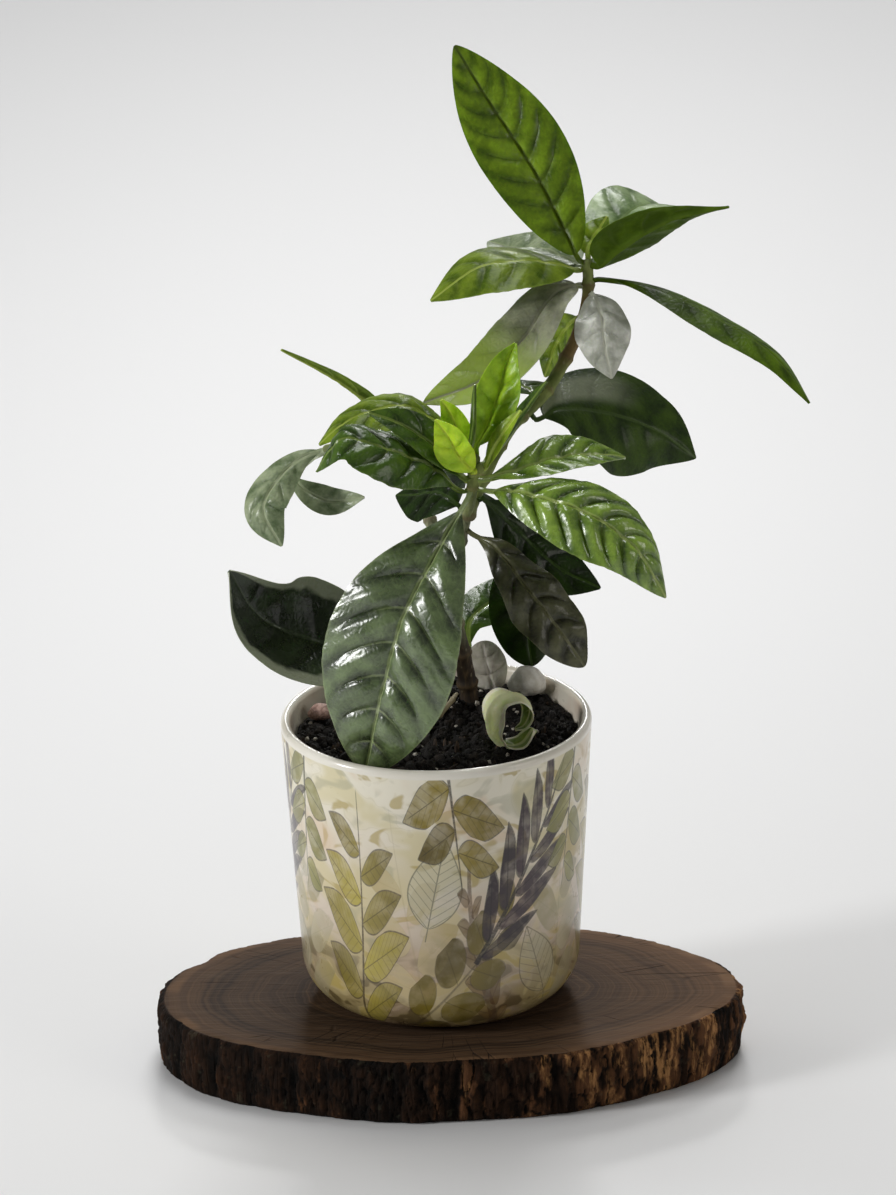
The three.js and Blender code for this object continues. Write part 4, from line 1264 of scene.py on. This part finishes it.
def make_stone(node, at, half, finish):
    """The frame's stone with a finer skin: the same swells, and small dents."""
    def skin(tilt, turn):
        x, y, z = math.sin(tilt) * math.cos(turn), math.sin(tilt) * math.sin(turn), -math.cos(tilt)
        swell = 1 + 0.08 * math.sin(3 * x + 2 * z) + 0.06 * math.cos(4 * y - x)
        swell += 0.05 * noise.noise(Vector((x, y, z)) * 2.6 + Vector(half))
        return (at[0] + half[0] * swell * x, at[1] + half[1] * swell * y, RIM_Z + half[2] * swell * z)

    points = [skin(0, 0)]
    for tilt in np.linspace(0, math.pi, STONE_RINGS + 2)[1:-1]:
        points += [skin(tilt, turn) for turn in turns(STONE_SIDES)]
    points.append(skin(math.pi, 0))
    faces = drawn_in_faces(STONE_RINGS, STONE_SIDES)
    obj = add_mesh("fine_" + node, settled(np.array(points), node), faces, finish, sharp_degrees=180)
    fit_out(obj, "pebble", node)


def make_twig():
    """A bit of dead stem that lies on the soil."""
    start, end = np.array([1, 8, RIM_Z]), np.array([7, 27, RIM_Z])
    bend = (start + end) / 2 + [1, 0, 1]
    points, faces, growth = stem_body(dict(path=[start, bend, end], radii=(1, 0.7)))
    growth[:, 0] = 0.1  # as old as the foot of the stem
    obj = add_mesh("fine_twig", settled(points, "twig"), faces, bpy.data.materials["stem_bark"],
                   {"growth": growth}, sharp_degrees=80)
    fit_out(obj, "stem_bark", "twig")


# ---- Wood ----

WOOD_SIDES = 720
CHAMFER = 1.2
SLICE_TOP = FOOT_Z
PLATES_ROUND = 22  # wide plates of bark round the wood


def bark_relief(turn, height):
    """How far the bark stands out at a place round the wood and up its side, about -1 to 1: wide
    plates between narrow fissures, at uneven distances."""
    rise = height / 6
    uneven = 1.6 * np.sin(3 * turn + 1) + 0.8 * np.sin(7 * turn) + 0.15 * rise * np.sin(5 * turn)
    plates = abs(np.sin(PLATES_ROUND / 2 * turn + uneven)) ** 0.45
    flakes = np.sin(29 * turn + 2.1 * rise) * np.sin(8 * turn - 1.7 * rise)
    return plates - 0.75 + 0.3 * flakes


def slice_radius(turn):
    """How far the wood reaches from its middle, to the bark's mean surface."""
    a, b = SLICE_LENGTH / 2, SLICE_DEPTH / 2
    ellipse = a * b / np.hypot(b * np.cos(turn), a * np.sin(turn))
    notch = NOTCH_DEPTH * np.exp(-((turn - NOTCH_AT) / NOTCH_REACH) ** 2)
    return ellipse * (1 + 0.012 * np.sin(3 * turn + 0.6) + 0.01 * np.sin(7 * turn + 2)) - notch


def bark_detail(x, y, z):
    """Fine plates and cracks of the bark, about -1 to 1."""
    strips = noise.noise(Vector((x * 0.3, y * 0.3, z * 0.05)))
    plates = noise.noise(Vector((x * 0.55, y * 0.55, z * 0.16)) + Vector((4, 1, 8)))
    cracks = abs(noise.noise(Vector((x * 0.42, y * 0.42, z * 0.13)) + Vector((7, 3, 1))))
    breaks = abs(noise.noise(Vector((x * 0.12, y * 0.12, z * 0.4)) + Vector((2, 5, 3))))
    flecks = noise.noise(Vector((x, y, z * 0.6)) * 1.1) * 0.5
    fissures = max(0.0, 0.13 - cracks) * 7 + max(0.0, 0.05 - breaks) * 7
    return strips * 0.9 + plates * 0.9 + flecks - fissures


def slice_rings():
    """The wood's rings, from the middle of its underside to the middle of its top: the height, the
    share of the radius, how far inside that, and how strong the bark's relief and detail are."""
    top = SLICE_TOP
    rings = [(0, share, 0, 0, 0) for share in (0.02, 0.5, 0.85)]
    rings += [(0, 1, CHAMFER + 1, 0.6, 0.2), (CHAMFER, 1, 1, 1, 0.5)]
    for height in np.linspace(CHAMFER + 0.7, top - 1.8, 28):
        inset = np.interp(height, [CHAMFER, 8, 14, top - 1.8], [1, 0, 0, 0.3])
        rings.append((height, 1, inset, 1, 0.8))
    rings += [(top - 1.1, 1, 0.6, 0.85, 0.7), (top - 0.5, 1, CHAMFER, 0.7, 0.5),
              (top - 0.06, 1, CHAMFER + 0.8, 0.5, 0.4), (top, 1, BARK_DEPTH, 0.2, 0.15)]
    return rings + [(top, share, 0, 0, 0) for share in np.linspace(0.9, 0.02, 34)]


def make_wood():
    """An oval cut of a trunk: sawn faces top and bottom, and deep bark round its side.

    The mark cut holds how far out a point is in shares of the radius, how far the bark stands out
    there, and the height.
    """
    turn = turns(WOOD_SIDES)
    radius = slice_radius(turn)
    outward = np.stack([np.cos(turn), np.sin(turn)], axis=-1)
    rings = slice_rings()
    points, marks = [], []
    for height, share, inset, relief, fine in rings:
        plates = bark_relief(turn, height)
        reach = radius * share - inset + relief * BARK_RELIEF * plates
        spots = SLICE_CENTRE + outward * reach[:, None]
        detail = np.array([bark_detail(x, y, height) for x, y in spots])
        spots = spots + outward * (fine * detail)[:, None]
        level = np.full(WOOD_SIDES, height)
        points.append(np.column_stack([spots, level]))
        off = (reach + fine * detail) / radius
        marks.append(np.column_stack([off, 0.5 + 0.3 * plates + 0.25 * detail, level]))
    obj = add_mesh("fine_wood_slice", np.concatenate(points), tube_faces(len(rings), WOOD_SIDES),
                   wood_finish(), {"cut": np.concatenate(marks)}, sharp_degrees=70)
    fit_out(obj, "bark_wood", "wood_slice")


def wood_finish():
    """Dark oiled end grain with year rings and checks, a pale band of sapwood, and rough bark.
    The top has painted shade at its middle and left and painted light at its right; the bark has
    painted light at its right.
    """
    finish = Finish("wood_and_bark")
    off, depth, height = finish.split(finish.mark("cut"))
    place = finish.place()
    x, y, _ = finish.split(place)

    drift = finish.cloud(place, 38, detail=3) * 0.16 + finish.cloud(place, 9) * 0.018
    age = off + drift
    years = finish.cloud(finish.join(age * 62, 0.0), 1)
    fine_years = finish.cloud(finish.join(age * 190, 3.0), 1, detail=1)
    bands = finish.cloud(finish.join(age * 14, 6.0), 1)
    rings = years * 0.5 + fine_years * 0.2 + bands * 0.45
    grain = finish.ramp(rings, (0.4, "#20170f"), (0.52, "#3a2b1e"), (0.62, "#4f3c2b"),
                        (0.74, "#6b5038"))
    # Painted shade: the top darkens toward its middle, under the planter, and toward the left.
    shaded = (off.rise(0.5, 0.15) * 0.8).most(x.rise(-10, -75) * 0.85)
    grain = finish.blend(shaded * 0.5, grain, "#1c140f")
    # Painted light: the top turns warmer and paler toward the right.
    grain = finish.blend(x.rise(20, 95) * 0.28, grain, "#7a5a40")
    ripple = finish.cloud(place, 16) * 0.1
    # The sapwood band and the tan line by the bark are stronger toward the right, as painted light.
    right_light = 0.45 + x.rise(-20, 80) * 0.45
    sapwood = (off + ripple).rise(0.88, 0.97)
    grain = finish.blend(sapwood * (0.1 + years * 0.5) * right_light, grain, "#75563c")
    tan = (off + ripple * 0.3).rise(0.94, 0.96) * (off + ripple * 0.2).rise(1.0, 0.985)
    patchy = finish.cloud(place, 22).rise(0.42, 0.6)
    grain = finish.blend(tan * patchy * right_light * 0.45, grain, "#8d6b4c")
    saw = finish.cloud(finish.stretch(place, (0.06, 1.6, 1)), 1, detail=3).rise(0.45, 0.7)
    grain = finish.blend(saw * 0.12, grain, "#8a7765")
    turn = finish.calc("ARCTAN2", y - SLICE_CENTRE[1], x - SLICE_CENTRE[0])
    ray = finish.cells(finish.join(turn * 9, off * 0.9), 1).rise(0.02, 0.0)
    check = ray * off.rise(0.2, 0.8) * finish.cloud(place, 20).rise(0.5, 0.62)
    grain = finish.blend(check * 0.75, grain, "#120c08")

    upright = finish.stretch(place, (1, 1, 0.16))
    fibre = finish.cloud(upright, 1.5, detail=5, roughness=0.65)
    drawn_out = finish.stretch(place, (1, 1, 0.35))
    flakes = finish.cloud(drawn_out, 9, detail=4, roughness=0.6, twist=0.4)
    # The plates of bark, each with its own tone, between the same fissures as in its shape.
    uneven = (turn * 3 + 1).sine() * 1.6 + (turn * 7).sine() * 0.8
    plate = ((turn * (PLATES_ROUND / 2) + uneven) / math.pi).floor()
    plate_tone = finish.chance(plate - (plate / PLATES_ROUND).floor() * PLATES_ROUND)
    bark = finish.ramp(depth * 0.6 + fibre * 0.35 + plate_tone * 0.2, (0.34, "#040302"),
                       (0.52, "#140b05"), (0.7, "#2a1a0f"), (0.92, "#4a301b"))
    # Brown inner bark and bright chips show where the dark outer bark has come away; that they gather
    # toward the right is painted light.
    wear_and_right_light = x.rise(-10, 80) * 0.16 + plate_tone * 0.14 - 0.1
    torn_and_lit = (flakes + wear_and_right_light).rise(0.54, 0.63) * depth.rise(0.3, 0.55)
    bark = finish.blend(torn_and_lit * (0.2 + fibre * 0.6), bark, "#6e4a30")
    chips = finish.cloud(drawn_out, 9, detail=4, roughness=0.6)
    bright = (chips + wear_and_right_light).rise(0.61, 0.7) * fibre.rise(0.4, 0.62)
    bark = finish.blend(bright * 0.7, bark, "#bb8a58")
    lichen = finish.cloud(place, 4, detail=3).rise(0.63, 0.72)
    bark = finish.blend(lichen * 0.15, bark, "#5b5a48")

    side = off.rise(0.975, 0.985).most(height.under(SLICE_TOP - 0.2))
    under_face = height.under(0.05) * off.under(0.9)
    side = side * (1 - under_face)
    colour = finish.blend(side, grain, bark)
    bark_height = fibre * 0.8 + flakes * 0.3 + finish.cells(upright, 2.4).rise(0.0, 0.2) * 0.35
    wood_height = rings * 0.25 - check + saw * 0.1
    surface = wood_height * (1 - side) + bark_height * side
    dull = (0.7 + rings * 0.12) * (1 - side) + (0.78 + fibre * 0.15) * side
    return finish.done(Base_Color=colour, Roughness=dull, Normal=finish.bump(surface, 0.7, 0.9),
                       Specular_IOR_Level=0.12)


# ---- Floor, light and camera ----

VIEW_HEIGHT = math.radians(20.8)
VIEW_LEAN = math.radians(-1.2)
VIEW_DISTANCE = 3.0
VIEW_AT = Vector((0.00485, 0, 0.1645))
LENS = 269.4


def make_floor():
    """A wide pale floor just under the wood."""
    half, level = 12, -0.0002
    corners = [(-half, -half, level), (half, -half, level), (half, half, level), (-half, half, level)]
    mesh = bpy.data.meshes.new("floor")
    mesh.from_pydata(corners, [], [(0, 1, 2, 3)])
    finish = Finish("pale_floor")
    mesh.materials.append(finish.done(Base_Color="#e6e6e6", Roughness=0.9, Specular_IOR_Level=0.1))
    obj = add_object("floor", mesh)


def add_lamp(name, kind, place, aim, power, **settings):
    """A lamp that faces a point."""
    light = bpy.data.lights.new(name, kind)
    light.energy = power
    for key, value in settings.items():
        setattr(light, key, value)
    obj = add_object(name, light)
    obj.location = place
    obj.rotation_euler = (Vector(aim) - Vector(place)).to_track_quat("-Z", "Y").to_euler()


def add_softbox(name, place, size, power, colour=(1, 1, 1)):
    add_lamp(name, "AREA", place, (0.01, 0, 0.2), power, shape="RECTANGLE", size=size[0],
             size_y=size[1], color=colour)


def make_light():
    """A soft room: a window low at the left, softboxes over, behind and to the right, and a glow from
    behind that lies on the floor."""
    world = bpy.data.worlds.new("soft_room")
    bpy.context.scene.world = world
    world.use_nodes = True
    sky = world.node_tree.nodes["Background"]
    sky.inputs["Color"].default_value = (1, 1, 1, 1)
    sky.inputs["Strength"].default_value = 0.17
    add_softbox("window", (-1.45, -0.5, 0.6), (0.28, 0.42), 14)
    add_softbox("over", (0.05, 0.6, 2.2), (0.9, 0.9), 18)
    add_softbox("back", (0.3, 1.6, 1.6), (0.5, 0.5), 9)
    add_softbox("right", (1.3, -0.6, 0.6), (0.6, 0.5), 3, (1.0, 0.96, 0.9))
    add_lamp("glow", "SPOT", (0, 3, 1.3), (0, 0.55, 0), 310, spot_size=math.radians(13.5),
             spot_blend=1, shadow_soft_size=0.3)


def make_camera():
    """A long lens, far off, that looks a little down on the plant."""
    data = bpy.data.cameras.new("camera")
    data.sensor_fit = "VERTICAL"
    data.sensor_height = 36
    data.lens = LENS
    data.clip_end = 50
    camera = add_object("camera", data)
    forward = Vector((0, math.cos(VIEW_HEIGHT), -math.sin(VIEW_HEIGHT)))
    look = forward.to_track_quat("-Z", "Y").to_matrix().to_4x4()
    camera.matrix_world = (Matrix.Translation(VIEW_AT - forward * VIEW_DISTANCE)
                           @ look @ Matrix.Rotation(VIEW_LEAN, 4, "Z"))
    bpy.context.scene.camera = camera


# ---- The plant in its planter ----

make_wood()
make_planter()
make_soil()
make_stem()
make_leaves()
make_crumbs()
make_stone("stone_white", (31, 29), (6.2, 4.6, 5.2),
           stone_finish("white_stone", "#fdfaf2", "#ebe6da", "#cbc2b4"))
make_stone("stone_pink", (-39, 16), (4.4, 3.4, 2.8),
           stone_finish("pink_stone", "#c9a79a", "#8d6c60", "#6a5048"))
make_twig()
make_floor()
make_light()
make_camera()
bpy.context.scene.view_settings.view_transform = "Standard"
